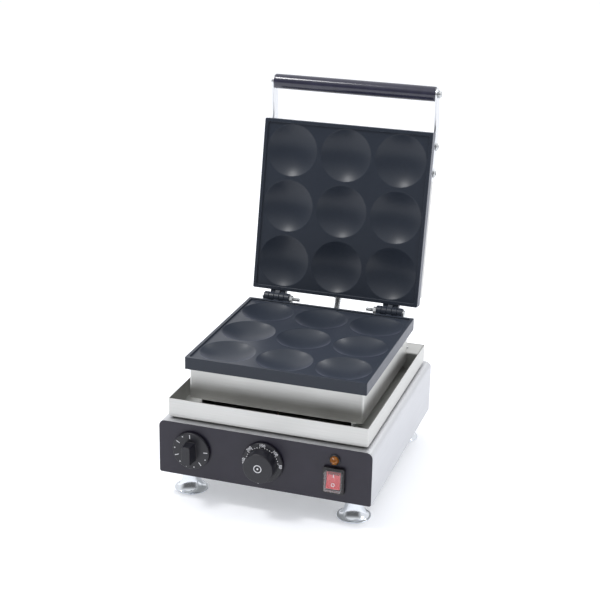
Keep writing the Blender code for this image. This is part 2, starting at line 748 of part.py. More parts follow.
def make_base_plate(look, base):
    """The bottom cover, which lies on the casing's flanges and carries the feet."""
    low = BODY_BOTTOM + SHEET + SEAT_GAP
    side = SHEET + SEAT_GAP
    front, back = PANEL_BACK + SEAT_GAP, BODY_BACK - 2 * SHEET - SEAT_GAP
    shape = box((side - BODY_WIDTH / 2, front, low), (BODY_WIDTH / 2 - side, back, low + SHEET))
    plate = piece("base_plate", shape, look, base)
    stud = flats_radius(FOOT_STUD_RADIUS + SEAT_GAP, ROUND_STEPS)
    shapes = []
    for _, x, y in foot_places():
        shapes.append(rod(stud, low - OVERRUN, low + SHEET + OVERRUN, x, y, ROUND_STEPS))
    for outline in vent_outlines((0, 0)):
        shapes.append(prism(outline, low - OVERRUN, low + SHEET + OVERRUN))
    cut(plate, helper("base_plate_openings", gather(shapes), base))


def make_feet(look, base):
    """Four turned feet: a flat rim, a flare drawn in to a neck, a collar and a stud."""
    top = BODY_BOTTOM + SHEET
    flare = []
    for i in range(FOOT_FLARE_STEPS + 1):
        turn = math.radians(90 * i / FOOT_FLARE_STEPS)
        reach = FOOT_FLARE_RADIUS - (FOOT_FLARE_RADIUS - FOOT_NECK_RADIUS) * math.sin(turn)
        rise = FOOT_RIM_HEIGHT + (FOOT_FLARE_HEIGHT - FOOT_RIM_HEIGHT) * (1 - math.cos(turn))
        flare.append((reach, rise))
    profile = (
        [(0, 0), (FOOT_RIM_RADIUS, 0), (FOOT_RIM_RADIUS, FOOT_RIM_HEIGHT)]
        + flare
        + [
            (FOOT_NECK_RADIUS, top - FOOT_COLLAR_HEIGHT),
            (FOOT_COLLAR_RADIUS, top - FOOT_COLLAR_HEIGHT),
            (FOOT_COLLAR_RADIUS, top),
            (FOOT_STUD_RADIUS, top),
            (FOOT_STUD_RADIUS, top + FOOT_STUD_LENGTH),
            (0, top + FOOT_STUD_LENGTH),
        ]
    )
    for name, x, y in foot_places():
        piece(f"foot_{name}", turned(profile), look, base, (x, y, 0))


def make_gasket(look, base):
    """The dark band between the body and the tray."""
    width, depth = TRAY_WIDTH - 2 * GASKET_INSET, TRAY_DEPTH - 2 * GASKET_INSET
    middle = (0, (TRAY_FRONT + TRAY_BACK) / 2)
    outline = rounded_rectangle(width, depth, TRAY_CORNER_RADIUS, middle)
    high = GASKET_BOTTOM + GASKET_THICKNESS
    gasket = piece("tray_gasket", prism(outline, GASKET_BOTTOM, high), look, base)
    hollow = rounded_rectangle(
        width - 2 * GASKET_WIDTH, depth - 2 * GASKET_WIDTH, TRAY_CORNER_RADIUS, middle
    )
    window = prism(hollow, GASKET_BOTTOM - OVERRUN, high + OVERRUN)
    cut(gasket, helper("gasket_window", window, base))


def make_tray(look, base):
    """The spill tray that stands round the heater box."""
    middle = (0, (TRAY_FRONT + TRAY_BACK) / 2)
    outside, hollow = tray_shape(
        rounded_rectangle(TRAY_WIDTH, TRAY_DEPTH, TRAY_CORNER_RADIUS, middle),
        rounded_rectangle(
            TRAY_WIDTH - 2 * SHEET, TRAY_DEPTH - 2 * SHEET, TRAY_INNER_RADIUS, middle
        ),
        TRAY_BOTTOM,
        TRAY_FLOOR,
        TRAY_TOP,
    )
    tray = piece("drip_tray", outside, look, base)
    cut(tray, helper("tray_hollow", hollow, base))
    low, high = TRAY_BOTTOM - OVERRUN, TRAY_FLOOR + OVERRUN
    window = rounded_rectangle(DUCT_WINDOW_WIDTH, DUCT_WINDOW_DEPTH, SHEET, (0, DUCT_MIDDLE))
    shapes = [prism(window, low, high)] + lower_holes(low, high)
    cut(tray, helper("tray_openings", gather(shapes), base))


def make_duct(look, base):
    """The raised cover at the tray's back that hides the wiring to the lid."""
    side = TRAY_WIDTH / 2 - SHEET - DUCT_WALL_GAP
    back, low = TRAY_BACK - SHEET - DUCT_WALL_GAP, TRAY_FLOOR + SEAT_GAP
    outline = [
        (DUCT_FRONT, low),
        (DUCT_FRONT + SHEET, low),
        (DUCT_FRONT + SHEET, TRAY_TOP - SHEET),
        (back, TRAY_TOP - SHEET),
        (back, TRAY_TOP),
        (DUCT_FRONT, TRAY_TOP),
    ]
    duct = piece("duct_cover", prism(outline, -side, side, ALONG_X), look, base)
    hole = flats_radius(FERRULE_SPIGOT_RADIUS + SEAT_GAP, SMALL_ROUND_STEPS)
    low, high = TRAY_TOP - SHEET - OVERRUN, TRAY_TOP + OVERRUN
    shapes = [rod(hole, low, high, 0, BASE_FERRULE_Y)]
    for side in (-1, 1):
        x = side * DUCT_SCREW_SPREAD / 2
        shapes.append(bolt_hole(SCREW_RADIUS, low, high, x, DUCT_SCREW_Y))
    cut(duct, helper("duct_holes", gather(shapes), base))


def headed(shank_radius, shank_length, head_radius, head_height):
    """A screw or bolt: its domed head rises from zero, and its shank hangs below."""
    shank = [(0, -shank_length), (shank_radius, -shank_length), (shank_radius, 0)]
    return shank + [(head_radius * across, head_height * up) for across, up in HEAD_SHARES]


def make_duct_screws(look, base):
    profile = headed(SCREW_RADIUS, SCREW_LENGTH, SCREW_HEAD_RADIUS, SCREW_HEAD_HEIGHT)
    for name, side in (("left", -1), ("right", 1)):
        place = (side * DUCT_SCREW_SPREAD / 2, DUCT_SCREW_Y, TRAY_TOP + SEAT_GAP)
        piece(f"duct_screw_{name}", turned(profile, BOLT_STEPS), look, base, place)


def make_rails(look, base):
    """The two folded rails that hold the heater box clear of the tray."""
    front, back = BOX_FRONT + RAIL_END_INSET, BOX_BACK - RAIL_END_INSET
    low, high = RAIL_BOTTOM, RAIL_BOTTOM + RAIL_HEIGHT
    outline = [
        (0, low),
        (RAIL_WIDTH, low),
        (RAIL_WIDTH, low + SHEET),
        (SHEET, low + SHEET),
        (SHEET, high - SHEET),
        (RAIL_WIDTH, high - SHEET),
        (RAIL_WIDTH, high),
        (0, high),
    ]
    for name, side in (("left", -1), ("right", 1)):
        start = side * (BOX_WIDTH / 2 - RAIL_INSET)
        section = [(start - side * x, z) for x, z in outline]
        piece(f"box_rail_{name}", prism(section, front, back, ALONG_Y), look, base)


def make_heater_box(look, base):
    middle = (0, (BOX_FRONT + BOX_BACK) / 2)
    outside, hollow = tray_shape(
        rounded_rectangle(BOX_WIDTH, BOX_DEPTH, BOX_CORNER_RADIUS, middle),
        rounded_rectangle(
            BOX_WIDTH - 2 * SHEET, BOX_DEPTH - 2 * SHEET, BOX_CORNER_RADIUS - SHEET, middle
        ),
        BOX_BOTTOM,
        BOX_BOTTOM + SHEET,
        BOX_TOP,
    )
    heater = piece("heater_box", outside, look, base)
    cut(heater, helper("heater_box_hollow", hollow, base))
    shapes = lower_holes(BOX_BOTTOM - OVERRUN, BOX_BOTTOM + SHEET + OVERRUN)
    cut(heater, helper("heater_box_holes", gather(shapes), base))


def dish_profile():
    """A dish as a cutter: the cap of a sphere, with a straight run above its edge."""
    edge = DISH_DIAMETER / 2
    sphere = (edge**2 + DISH_DEPTH**2) / (2 * DISH_DEPTH)
    spread = math.asin(edge / sphere)
    points = []
    for i in range(DISH_ARC_STEPS + 1):
        angle = spread * i / DISH_ARC_STEPS
        points.append((sphere * math.sin(angle), sphere - sphere * math.cos(angle) - DISH_DEPTH))
    rise = RIM_HEIGHT + OVERRUN
    return points + [(edge, rise), (0, rise)]


def dish_places(middle):
    """Centres of the nine dishes."""
    half = (DISH_ROWS - 1) / 2
    for row in range(DISH_ROWS):
        for column in range(DISH_ROWS):
            yield (column - half) * DISH_PITCH, middle + (row - half) * DISH_PITCH


def knuckle_spans():
    """Low x, high x and number of each knuckle of both hinges, from left to right."""
    width = (HINGE_WIDTH - (KNUCKLES - 1) * KNUCKLE_GAP) / KNUCKLES
    for side in (-1, 1):
        start = side * HINGE_SPREAD / 2 - HINGE_WIDTH / 2
        for number in range(KNUCKLES):
            low = start + number * (width + KNUCKLE_GAP)
            yield low, low + width, number


def knuckle_outline(up, heel=False):
    """A knuckle with the arm that roots it in its plate's edge, from the axis: y and z.

    The arm lies below the parting plane for the lower plate (up = -1) and above it for
    the lid's (up = 1). A heel is the block behind the axis that the open lid leans on.
    """
    root = -HINGE_SETBACK - KNUCKLE_ROOT_OVERLAP
    half_gap = PARTING_GAP / 2
    points = [(root, up * half_gap)]
    if heel:
        across = Vector((math.sin(LEAN), math.cos(LEAN)))
        along = Vector((math.cos(LEAN), -math.sin(LEAN)))
        rest = across * (HINGE_SETBACK - SEAT_GAP)
        near, far = rest + along * SEAT_GAP, rest + along * HEEL_REACH
        points += arc((0, 0), KNUCKLE_RADIUS, 180, HEEL_TOP_DEGREES, KNUCKLE_ARC_STEPS // 2)
        points += [tuple(near), tuple(far), (far[0], -HEEL_FOOT_DROP)]
        points += arc((0, 0), KNUCKLE_RADIUS, *HEEL_FOOT_DEGREES, HEEL_FOOT_STEPS)
    else:
        wrapped = 180 + up * KNUCKLE_WRAP_DEGREES
        points += arc((0, 0), KNUCKLE_RADIUS, 180, wrapped, KNUCKLE_ARC_STEPS)
    return points + [(root, up * KNUCKLE_ROOT_DEPTH)]


def make_plate(name, middle, back, low, up, look, parent, hinge):
    """A cast plate with its rim, nine dishes, clamp boss and knuckles.

    The dishes open towards the parting plane, which is up = 1 for the lower plate. The
    hinge is the place of the axis in the parent's frame.
    """
    outline = rounded_rectangle(PLATE_SIDE, PLATE_SIDE, PLATE_CORNER_RADIUS, (0, middle))
    plate = piece(name, prism(outline, low, low + PLATE_THICKNESS), look, parent)
    heel = up > 0
    numbers = range(0, KNUCKLES, 2) if heel else range(1, KNUCKLES, 2)
    shapes = []
    for start, end, number in knuckle_spans():
        if number in numbers:
            has_heel = heel and number == KNUCKLES // 2
            shapes.append(prism(knuckle_outline(-up, has_heel), start, end, ALONG_X))
    add(plate, helper(f"{name}_knuckles", gather(shapes), parent, hinge))
    face = low + PLATE_THICKNESS if heel else low
    away = low if heel else low + PLATE_THICKNESS
    boss_end = away - up * (ELEMENT_LEVEL_SPAN - SEAT_GAP)
    boss = rod(CLAMP_BOSS_RADIUS, min(away, boss_end), max(away, boss_end), CLAMP_BOLT_X, middle)
    boss_root = moved(boss, 0, 0, up * SEAT_GAP)
    add(plate, helper(f"{name}_boss", boss_root, parent))
    bores = bore_through_knuckles()
    cut(plate, helper(f"{name}_pin_bores", bores, parent, hinge))
    pocket = rounded_rectangle(
        PLATE_SIDE - 2 * RIM_WIDTH, PLATE_SIDE - 2 * RIM_WIDTH, RIM_POCKET_RADIUS, (0, middle)
    )
    depths = sorted((face - up * RIM_HEIGHT, face + up * OVERRUN))
    cut(plate, helper(f"{name}_rim_pocket", prism(pocket, *depths), parent))
    dishes = []
    for x, y in dish_places(middle):
        dish = turned(dish_profile(), DISH_STEPS)
        if not heel:
            dish.transform(Matrix.Diagonal((1, 1, -1, 1)))
        dishes.append(moved(dish, x, y, face - up * RIM_HEIGHT))
    cut(plate, helper(f"{name}_dishes", gather(dishes), parent))
    ends = sorted((boss_end - up * OVERRUN, boss_end + up * (CLAMP_BOLT_BITE + SEAT_GAP)))
    bite = bolt_hole(CLAMP_BOLT_RADIUS, *ends, CLAMP_BOLT_X, middle)
    cut(plate, helper(f"{name}_bolt_hole", bite, parent))
    return boss_end


def bore_through_knuckles():
    """One long cutter for each hinge's pin, about the axis."""
    radius = flats_radius(PIN_RADIUS + PIN_CLEARANCE, SMALL_ROUND_STEPS)
    shapes = []
    for side in (-1, 1):
        middle = side * HINGE_SPREAD / 2
        low, high = middle - HINGE_WIDTH / 2 - OVERRUN, middle + HINGE_WIDTH / 2 + OVERRUN
        shapes.append(prism(circle(radius), low, high, ALONG_X))
    return gather(shapes)


def make_hinge_pins(look, base):
    """A headed pin in from each side, its long threaded tail held by a nut."""
    length = HINGE_WIDTH + SEAT_GAP + PIN_TAIL
    profile = headed(PIN_RADIUS, length, PIN_HEAD_RADIUS, PIN_HEAD_HEIGHT)
    nut_bore = flats_radius(PIN_RADIUS + SEAT_GAP, SMALL_ROUND_STEPS)
    for name, side, turn in (("left", -1, FACING_LEFT), ("right", 1, FACING_RIGHT)):
        outer = side * (HINGE_SPREAD + HINGE_WIDTH) / 2
        head = (outer + side * SEAT_GAP, HINGE_Y, HINGE_Z)
        piece(f"hinge_pin_{name}", turned(profile, SMALL_ROUND_STEPS), look, base, head, turn)
        inner = outer - side * (HINGE_WIDTH + SEAT_GAP)
        place = (inner, HINGE_Y, HINGE_Z)
        shape = prism(circle(PIN_NUT_RADIUS, steps=NUT_SIDES), -PIN_NUT_HEIGHT, 0)
        nut = piece(f"hinge_nut_{name}", shape, look, base, place, turn)
        bore = rod(nut_bore, -PIN_NUT_HEIGHT - OVERRUN, OVERRUN)
        cut(nut, helper(f"hinge_nut_{name}_bore", bore, base, place, turn))


def element_route(front, back, level, lead_end):
    """An M-shaped heating element whose two ends turn off the plate, from left to right."""
    far_y, near_y = front + ELEMENT_FRONT_INSET, back - ELEMENT_BACK_INSET
    turn_y = back - ELEMENT_RETURN_INSET
    outer, inner, end = ELEMENT_OUTER_X, ELEMENT_INNER_X, ELEMENT_TERMINAL_X
    flat = [
        (-end, near_y, level),
        (-outer, near_y, level),
        (-outer, far_y, level),
        (-inner, far_y, level),
        (-inner, turn_y, level),
    ]
    mirrored = [(-x, y, z) for x, y, z in reversed(flat)]
    points = [(-end, near_y, lead_end)] + flat + mirrored + [(end, near_y, lead_end)]
    return smooth_route(points, ELEMENT_BEND, ELEMENT_BEND_STEPS)


def make_lower_heater(steel, element_look, wool, base):
    """Element, clamp plate, bolt and insulation under the lower plate."""
    level = PLATE_BOTTOM - SEAT_GAP - ELEMENT_RADIUS
    lead_end = BODY_TOP - LOWER_LEAD_BELOW_CASING
    route = element_route(PLATE_FRONT, PLATE_BACK, level, lead_end)
    tube("lower_element", route, ELEMENT_RADIUS, ELEMENT_RESOLUTION, element_look, base)
    clamp_top = PLATE_BOTTOM - ELEMENT_LEVEL_SPAN
    make_clamp("lower", PLATE_FRONT, PLATE_BACK, clamp_top - CLAMP_THICKNESS, steel, base)
    head = clamp_top - CLAMP_THICKNESS - SEAT_GAP
    make_clamp_bolt("lower", (CLAMP_BOLT_X, PLATE_MIDDLE, head), FACING_DOWN, steel, base)
    low, high = BOX_BOTTOM + SHEET + SEAT_GAP, clamp_top - CLAMP_THICKNESS - SEAT_GAP
    inset = INSULATION_SIDE_INSET
    block = box(
        (inset - BOX_WIDTH / 2, BOX_FRONT + SHEET + SEAT_GAP, low),
        (BOX_WIDTH / 2 - inset, BOX_BACK - SHEET - SEAT_GAP, high),
    )
    wool_block = piece("lower_insulation", block, wool, base)
    pocket = rod(
        INSULATION_BOLT_POCKET_RADIUS,
        high - CLAMP_BOLT_HEAD_HEIGHT - 2 * SEAT_GAP,
        high + OVERRUN,
        CLAMP_BOLT_X,
        PLATE_MIDDLE,
    )
    low, high = low - OVERRUN, high + OVERRUN
    shapes = [pocket, rod(CAPILLARY_HOLE, low, high, THERMOSTAT_X, CAPILLARY_Y)]
    for side in (-1, 1):
        centre = (side * (ELEMENT_TERMINAL_X + ELEMENT_BEND / 2), BACK_LEADS_Y)
        length, width = ELEMENT_BEND + 2 * ELEMENT_LEAD_HOLE, 2 * ELEMENT_LEAD_HOLE
        shapes.append(prism(rounded_rectangle(length, width, SHEET, centre, 1), low, high))
    cut(wool_block, helper("lower_insulation_holes", gather(shapes), base))


def make_clamp(side, front, back, low, look, parent):
    """The steel plate that presses an element against its cooking plate."""
    width = PLATE_SIDE - 2 * CLAMP_SIDE_INSET
    near, far = front + CLAMP_FRONT_INSET, back - CLAMP_BACK_INSET
    shape = box((-width / 2, near, low), (width / 2, far, low + CLAMP_THICKNESS))
    clamp = piece(f"{side}_clamp_plate", shape, look, parent)
    middle, high = (front + back) / 2, low + CLAMP_THICKNESS + OVERRUN
    tool = bolt_hole(CLAMP_BOLT_RADIUS, low - OVERRUN, high, CLAMP_BOLT_X, middle)
    cut(clamp, helper(f"{side}_clamp_hole", tool, parent))


def make_clamp_bolt(side, place, turn, look, parent):
    profile = headed(
        CLAMP_BOLT_RADIUS,
        CLAMP_THICKNESS + SEAT_GAP + CLAMP_BOLT_BITE,
        CLAMP_BOLT_HEAD_RADIUS,
        CLAMP_BOLT_HEAD_HEIGHT,
    )
    piece(f"{side}_clamp_bolt", turned(profile, BOLT_STEPS), look, parent, place, turn)


def make_cover(look, lid):
    """The folded cover over the back of the upper plate, open towards the plate."""
    outline = rounded_rectangle(
        COVER_SIDE, COVER_SIDE, COVER_CORNER_RADIUS, (0, LID_PLATE_MIDDLE)
    )
    shape = prism(outline, COVER_BOTTOM, COVER_TOP)
    cover = piece("lid_cover", shape, look, lid)
    rims = [edge for edge in cover.data.edges if is_top_edge(cover.data, edge, COVER_TOP)]
    round_edges(cover, rims, COVER_EDGE_RADIUS)
    inner_side, inner_radius = COVER_SIDE - 2 * SHEET, COVER_CORNER_RADIUS - SHEET
    inner = rounded_rectangle(inner_side, inner_side, inner_radius, (0, LID_PLATE_MIDDLE))
    hollow = prism(inner, COVER_BOTTOM - OVERRUN, COVER_TOP - SHEET)
    inside = helper("lid_cover_hollow", hollow, lid)
    top = COVER_TOP - SHEET
    round_edges(
        inside,
        [edge for edge in inside.data.edges if is_top_edge(inside.data, edge, top)],
        COVER_EDGE_RADIUS - SHEET,
    )
    cut(cover, inside)
    ferrule = flats_radius(FERRULE_SPIGOT_RADIUS + SEAT_GAP, SMALL_ROUND_STEPS)
    back, front = COVER_BACK + OVERRUN, COVER_BACK - SHEET - OVERRUN
    shapes = [prism(circle(ferrule, (0, LID_FERRULE_HEIGHT)), front, back, ALONG_Y)]
    bolt = flats_radius(ARM_BOLT_RADIUS + SEAT_GAP, BOLT_STEPS)
    for side in (-1, 1):
        wall = side * COVER_SIDE / 2
        low, high = sorted((wall + side * OVERRUN, wall - side * (SHEET + OVERRUN)))
        for inset in ARM_BOLT_INSETS:
            place = (LID_PLATE_FRONT + inset, ARM_HEIGHT)
            shapes.append(prism(circle(bolt, place, BOLT_STEPS), low, high, ALONG_X))
    cut(cover, helper("lid_cover_holes", gather(shapes), lid))


def is_top_edge(mesh, edge, height):
    return all(abs(mesh.vertices[i].co.z - height) < MERGE_DISTANCE for i in edge.vertices)


def round_edges(target, edges, radius):
    """Rounds the given edges with a weighted Bevel."""
    weights = target.data.attributes.new("bevel_weight_edge", "FLOAT", "EDGE")
    for edge in edges:
        weights.data[edge.index].value = 1
    bevel = target.modifiers.new("rounded", "BEVEL")
    bevel.limit_method = "WEIGHT"
    bevel.width = radius
    bevel.segments = 2


def make_upper_heater(steel, element_look, wool, lid, boss_end):
    """Element, clamp plate, bolt and insulation behind the upper plate."""
    level = LID_PLATE_TOP + SEAT_GAP + ELEMENT_RADIUS
    route = element_route(
        LID_PLATE_FRONT, LID_PLATE_BACK, level, level + UPPER_LEAD_LENGTH
    )
    tube("upper_element", route, ELEMENT_RADIUS, ELEMENT_RESOLUTION, element_look, lid)
    low = boss_end
    make_clamp("upper", LID_PLATE_FRONT, LID_PLATE_BACK, low + SEAT_GAP, steel, lid)
    top = low + SEAT_GAP + CLAMP_THICKNESS
    head = (CLAMP_BOLT_X, LID_PLATE_MIDDLE, top + SEAT_GAP)
    make_clamp_bolt("upper", head, (0, 0, 0), steel, lid)
    inset = INSULATION_SIDE_INSET
    low, high = top + SEAT_GAP, COVER_TOP - SHEET - SEAT_GAP
    block = box(
        (inset - COVER_SIDE / 2, COVER_FRONT + COVER_EDGE_RADIUS, low),
        (COVER_SIDE / 2 - inset, COVER_BACK - UPPER_INSULATION_BACK_INSET, high),
    )
    wool_block = piece("upper_insulation", block, wool, lid)
    pocket = rod(
        INSULATION_BOLT_POCKET_RADIUS,
        low - OVERRUN,
        low + CLAMP_BOLT_HEAD_HEIGHT + 2 * SEAT_GAP,
        CLAMP_BOLT_X,
        LID_PLATE_MIDDLE,
    )
    cut(wool_block, helper("upper_insulation_pocket", pocket, lid))


def arm_outline():
    """A flat bar along the cover's side that bends down to the grip: y and z."""
    rear = Vector((LID_PLATE_FRONT + ARM_REAR_REACH, ARM_HEIGHT))
    bend = Vector((LID_PLATE_FRONT - ARM_FRONT_REACH, ARM_HEIGHT))
    grip = Vector((GRIP_Y, GRIP_HEIGHT))
    run = grip - bend
    heading = math.degrees(math.atan2(run.y, run.x)) % 360
    skew = math.degrees(math.acos((ARM_RADIUS - ARM_GRIP_RADIUS) / run.length))
    upper, lower = heading - skew, heading + skew
    return (
        arc(rear, ARM_RADIUS, -90, 90, ARM_ARC_STEPS)
        + arc(bend, ARM_RADIUS, 90, upper, 1)
        + arc(grip, ARM_GRIP_RADIUS, upper, lower, ARM_ARC_STEPS)
        + [(bend.x, bend.y - ARM_RADIUS)]
    )


def make_handle(steel, plastic, lid):
    """Two arms, the round grip between them, the rod through it and the arms' bolts."""
    rod_hole = flats_radius(ROD_RADIUS + SEAT_GAP, SMALL_ROUND_STEPS)
    bolt_radius = flats_radius(ARM_BOLT_RADIUS + SEAT_GAP, BOLT_STEPS)
    bolt_profile = headed(
        ARM_BOLT_RADIUS, ARM_BOLT_LENGTH, ARM_BOLT_HEAD_RADIUS, ARM_BOLT_HEAD_HEIGHT
    )
    for name, side, turn in (("left", -1, FACING_LEFT), ("right", 1, FACING_RIGHT)):
        low, high = sorted((side * ARM_X, side * ARM_OUTSIDE))
        arm = piece(f"handle_arm_{name}", prism(arm_outline(), low, high, ALONG_X), steel, lid)
        low, high = low - OVERRUN, high + OVERRUN
        shapes = [prism(circle(rod_hole, (GRIP_Y, GRIP_HEIGHT)), low, high, ALONG_X)]
        for number, inset in enumerate(ARM_BOLT_INSETS, 1):
            place = (LID_PLATE_FRONT + inset, ARM_HEIGHT)
            shapes.append(prism(circle(bolt_radius, place, BOLT_STEPS), low, high, ALONG_X))
            head = (side * (ARM_OUTSIDE + SEAT_GAP), *place)
            bolt = turned(bolt_profile, BOLT_STEPS)
            piece(f"arm_bolt_{name}_{number}", bolt, steel, lid, head, turn)
        cut(arm, helper(f"handle_arm_{name}_holes", gather(shapes), lid))
    half = ARM_X - SEAT_GAP
    edge = GRIP_END_ROUND
    grip_profile = [
        (rod_hole, -half),
        (GRIP_RADIUS - edge, -half),
        (GRIP_RADIUS, edge - half),
        (GRIP_RADIUS, half - edge),
        (GRIP_RADIUS - edge, half),
        (rod_hole, half),
    ]
    place = (0, GRIP_Y, GRIP_HEIGHT)
    piece("handle_grip", turned(grip_profile, ring=True), plastic, lid, place, FACING_RIGHT)
    head = (-ARM_OUTSIDE - SEAT_GAP, GRIP_Y, GRIP_HEIGHT)
    length = 2 * (ARM_OUTSIDE + SEAT_GAP) + ROD_THREAD_LENGTH
    profile = headed(ROD_RADIUS, length, ROD_HEAD_RADIUS, ROD_HEAD_HEIGHT)
    piece("handle_rod", turned(profile, SMALL_ROUND_STEPS), steel, lid, head, FACING_LEFT)
    cap_bore = flats_radius(ROD_RADIUS + SEAT_GAP, SMALL_ROUND_STEPS)
    inner = ROD_THREAD_LENGTH + SEAT_GAP
    cap = [
        (0, inner),
        (cap_bore, inner),
        (cap_bore, 0),
        (ROD_HEAD_RADIUS, 0),
        (ROD_HEAD_RADIUS, ROD_HEAD_HEIGHT / 2),
        (ROD_RADIUS, ROD_HEAD_HEIGHT),
        (0, ROD_HEAD_HEIGHT + SEAT_GAP),
    ]
    end = (ARM_OUTSIDE + SEAT_GAP, GRIP_Y, GRIP_HEIGHT)
    piece("handle_rod_nut", turned(cap, SMALL_ROUND_STEPS), steel, lid, end, FACING_RIGHT)


def lid_point(forward, height):
    """A place in the shut lid's middle plane, from the axis, where the open lid takes it."""
    up, out = -forward, height
    y = HINGE_Y + up * math.sin(LEAN) + out * math.cos(LEAN)
    z = HINGE_Z + up * math.cos(LEAN) - out * math.sin(LEAN)
    return Vector((0, y, z))


def hose_path(share):
    """A place along the conduit: straight in both ferrules and one smooth bend between."""
    start = Vector((0, BASE_FERRULE_Y, TRAY_TOP + HOSE_END_LIFT))
    leave = Vector((0, BASE_FERRULE_Y, TRAY_TOP + FERRULE_LENGTH))
    end = lid_point(COVER_BACK + HOSE_END_LIFT, LID_FERRULE_HEIGHT)
    enter = lid_point(COVER_BACK + FERRULE_LENGTH, LID_FERRULE_HEIGHT)
    into = (end - enter).normalized()
    first = leave + Vector((0, 0, HOSE_SLACK_HANDLE))
    last = enter - into * HOSE_SLACK_HANDLE
    spans = ((leave - start).length, (enter - leave).length, (end - enter).length)
    along = share * sum(spans)
    if along < spans[0]:
        return start.lerp(leave, along / spans[0])
    if along > spans[0] + spans[1]:
        return enter.lerp(end, (along - spans[0] - spans[1]) / spans[2])
    t = (along - spans[0]) / spans[1]
    return (
        leave * (1 - t) ** 3
        + first * (3 * t * (1 - t) ** 2)
        + last * (3 * t**2 * (1 - t))
        + enter * t**3
    )


def make_conduit(steel, base):
    """The ribbed metal hose that takes the wires from the duct to the lid."""
    length = sum(
        (hose_path((i + 1) / HOSE_TUBE_POINTS) - hose_path(i / HOSE_TUBE_POINTS)).length
        for i in range(HOSE_TUBE_POINTS)
    )
    ribs = round(length / HOSE_RIB_PITCH)
    points = 2 * ribs + 1
    route = [hose_path(i / (points - 1)) for i in range(points)]
    shares = [HOSE_ROOT_SHARE if i % 2 else 1 for i in range(points)]
    hose = as_mesh(tube("conduit", route, HOSE_RADIUS, HOSE_RESOLUTION, steel, base, shares), steel)
    ends = (route[0] - route[1], route[-1] - route[-2])
    bore_route = [hose_path(i / HOSE_TUBE_POINTS) for i in range(HOSE_TUBE_POINTS + 1)]
    bore_route[0] += ends[0].normalized() * OVERRUN
    bore_route[-1] += ends[1].normalized() * OVERRUN
    inside = tube("conduit_bore", bore_route, HOSE_BORE_RADIUS, HOSE_RESOLUTION, None, base)
    bore = as_mesh(inside)
    bore.hide_render = True
    bore.display_type = "WIRE"
    cut(hose, bore)
    print(f"conduit {length * 1000:.1f} mm long, {ribs} ribs")


def make_ferrules(steel, base, lid):
    """The threaded ferrules that hold the conduit, one on the duct and one on the lid cover."""
    bore = flats_radius(HOSE_RADIUS + SEAT_GAP, SMALL_ROUND_STEPS)
    profile = [
        (bore, -FERRULE_SPIGOT_LENGTH),
        (FERRULE_SPIGOT_RADIUS, -FERRULE_SPIGOT_LENGTH),
        (FERRULE_SPIGOT_RADIUS, SEAT_GAP),
        (FERRULE_FLANGE_RADIUS, SEAT_GAP),
        (FERRULE_FLANGE_RADIUS, FERRULE_FLANGE_HEIGHT),
        (FERRULE_RADIUS, FERRULE_FLANGE_HEIGHT),
        (FERRULE_RADIUS, FERRULE_LENGTH - FERRULE_CHAMFER),
        (FERRULE_RADIUS - FERRULE_CHAMFER / 2, FERRULE_LENGTH),
        (bore, FERRULE_LENGTH),
    ]
    place = (0, BASE_FERRULE_Y, TRAY_TOP)
    shape = turned(profile, SMALL_ROUND_STEPS, True)
    piece("conduit_ferrule_base", shape, steel, base, place)
    place = (0, COVER_BACK, LID_FERRULE_HEIGHT)
    shape = turned(profile, SMALL_ROUND_STEPS, True)
    piece("conduit_ferrule_lid", shape, steel, lid, place, FACING_BACK)


def skirt_profile(radius):
    return [
        (0, KNOB_GAP),
        (radius, KNOB_GAP),
        (radius, SKIRT_FRONT - SKIRT_CHAMFER),
        (radius - SKIRT_CHAMFER, SKIRT_FRONT),
    ]


def bore_knob(knob, name, parent):
    radius = flats_radius(SHAFT_RADIUS + SEAT_GAP, SMALL_ROUND_STEPS)
    tool = rod(radius, -OVERRUN, SHAFT_INSERTION + SEAT_GAP)
    cut(knob, helper(name, tool, parent, (0, 0, 0), FACING_FRONT))


def make_shaft(name, look, parent):
    shape = rod(SHAFT_RADIUS, -PANEL_THICKNESS - SHAFT_TAIL, SHAFT_INSERTION)
    piece(name, shape, look, parent, (0, 0, 0), FACING_FRONT)


def make_timer(black, steel, base):
    """Timer knob with its skirt and grip bar, its shaft and the clockwork behind the panel."""
    axis = empty("timer_axis", (TIMER_X, BODY_FRONT, CONTROL_Z), parent=base)
    skirt = turned(skirt_profile(TIMER_SKIRT_RADIUS) + [(0, SKIRT_FRONT)])
    knob = piece("timer_knob", skirt, black, axis, (0, 0, 0), FACING_FRONT)
    foot = rounded_rectangle(TIMER_BAR_BASE_WIDTH, TIMER_BAR_LENGTH, TIMER_BAR_CORNER)
    front = rounded_rectangle(TIMER_BAR_WIDTH, TIMER_BAR_LENGTH, TIMER_BAR_CORNER)
    bar = lofted(foot, front, SKIRT_FRONT - SKIRT_CHAMFER, KNOB_REACH)
    add(knob, helper("timer_bar", bar, axis, (0, 0, 0), FACING_FRONT))
    bore_knob(knob, "timer_knob_bore", axis)
    make_shaft("timer_shaft", steel, axis)
    half, front = TIMER_CASE_SIDE / 2, PANEL_BACK + SEAT_GAP
    shape = box(
        (TIMER_X - half, front, CONTROL_Z - half),
        (TIMER_X + half, front + TIMER_CASE_DEPTH, CONTROL_Z + half),
    )
    case = piece("timer_clockwork", shape, steel, base)
    cut(case, helper("timer_case_bore", shaft_bore(TIMER_X), base))


def shaft_bore(x):
    """The blind bore that a control's shaft runs in, behind the panel."""
    radius = flats_radius(SHAFT_RADIUS + SEAT_GAP, SMALL_ROUND_STEPS)
    end = PANEL_BACK + SHAFT_TAIL + SEAT_GAP
    return prism(circle(radius, (x, CONTROL_Z)), PANEL_BACK - OVERRUN, end, ALONG_Y)


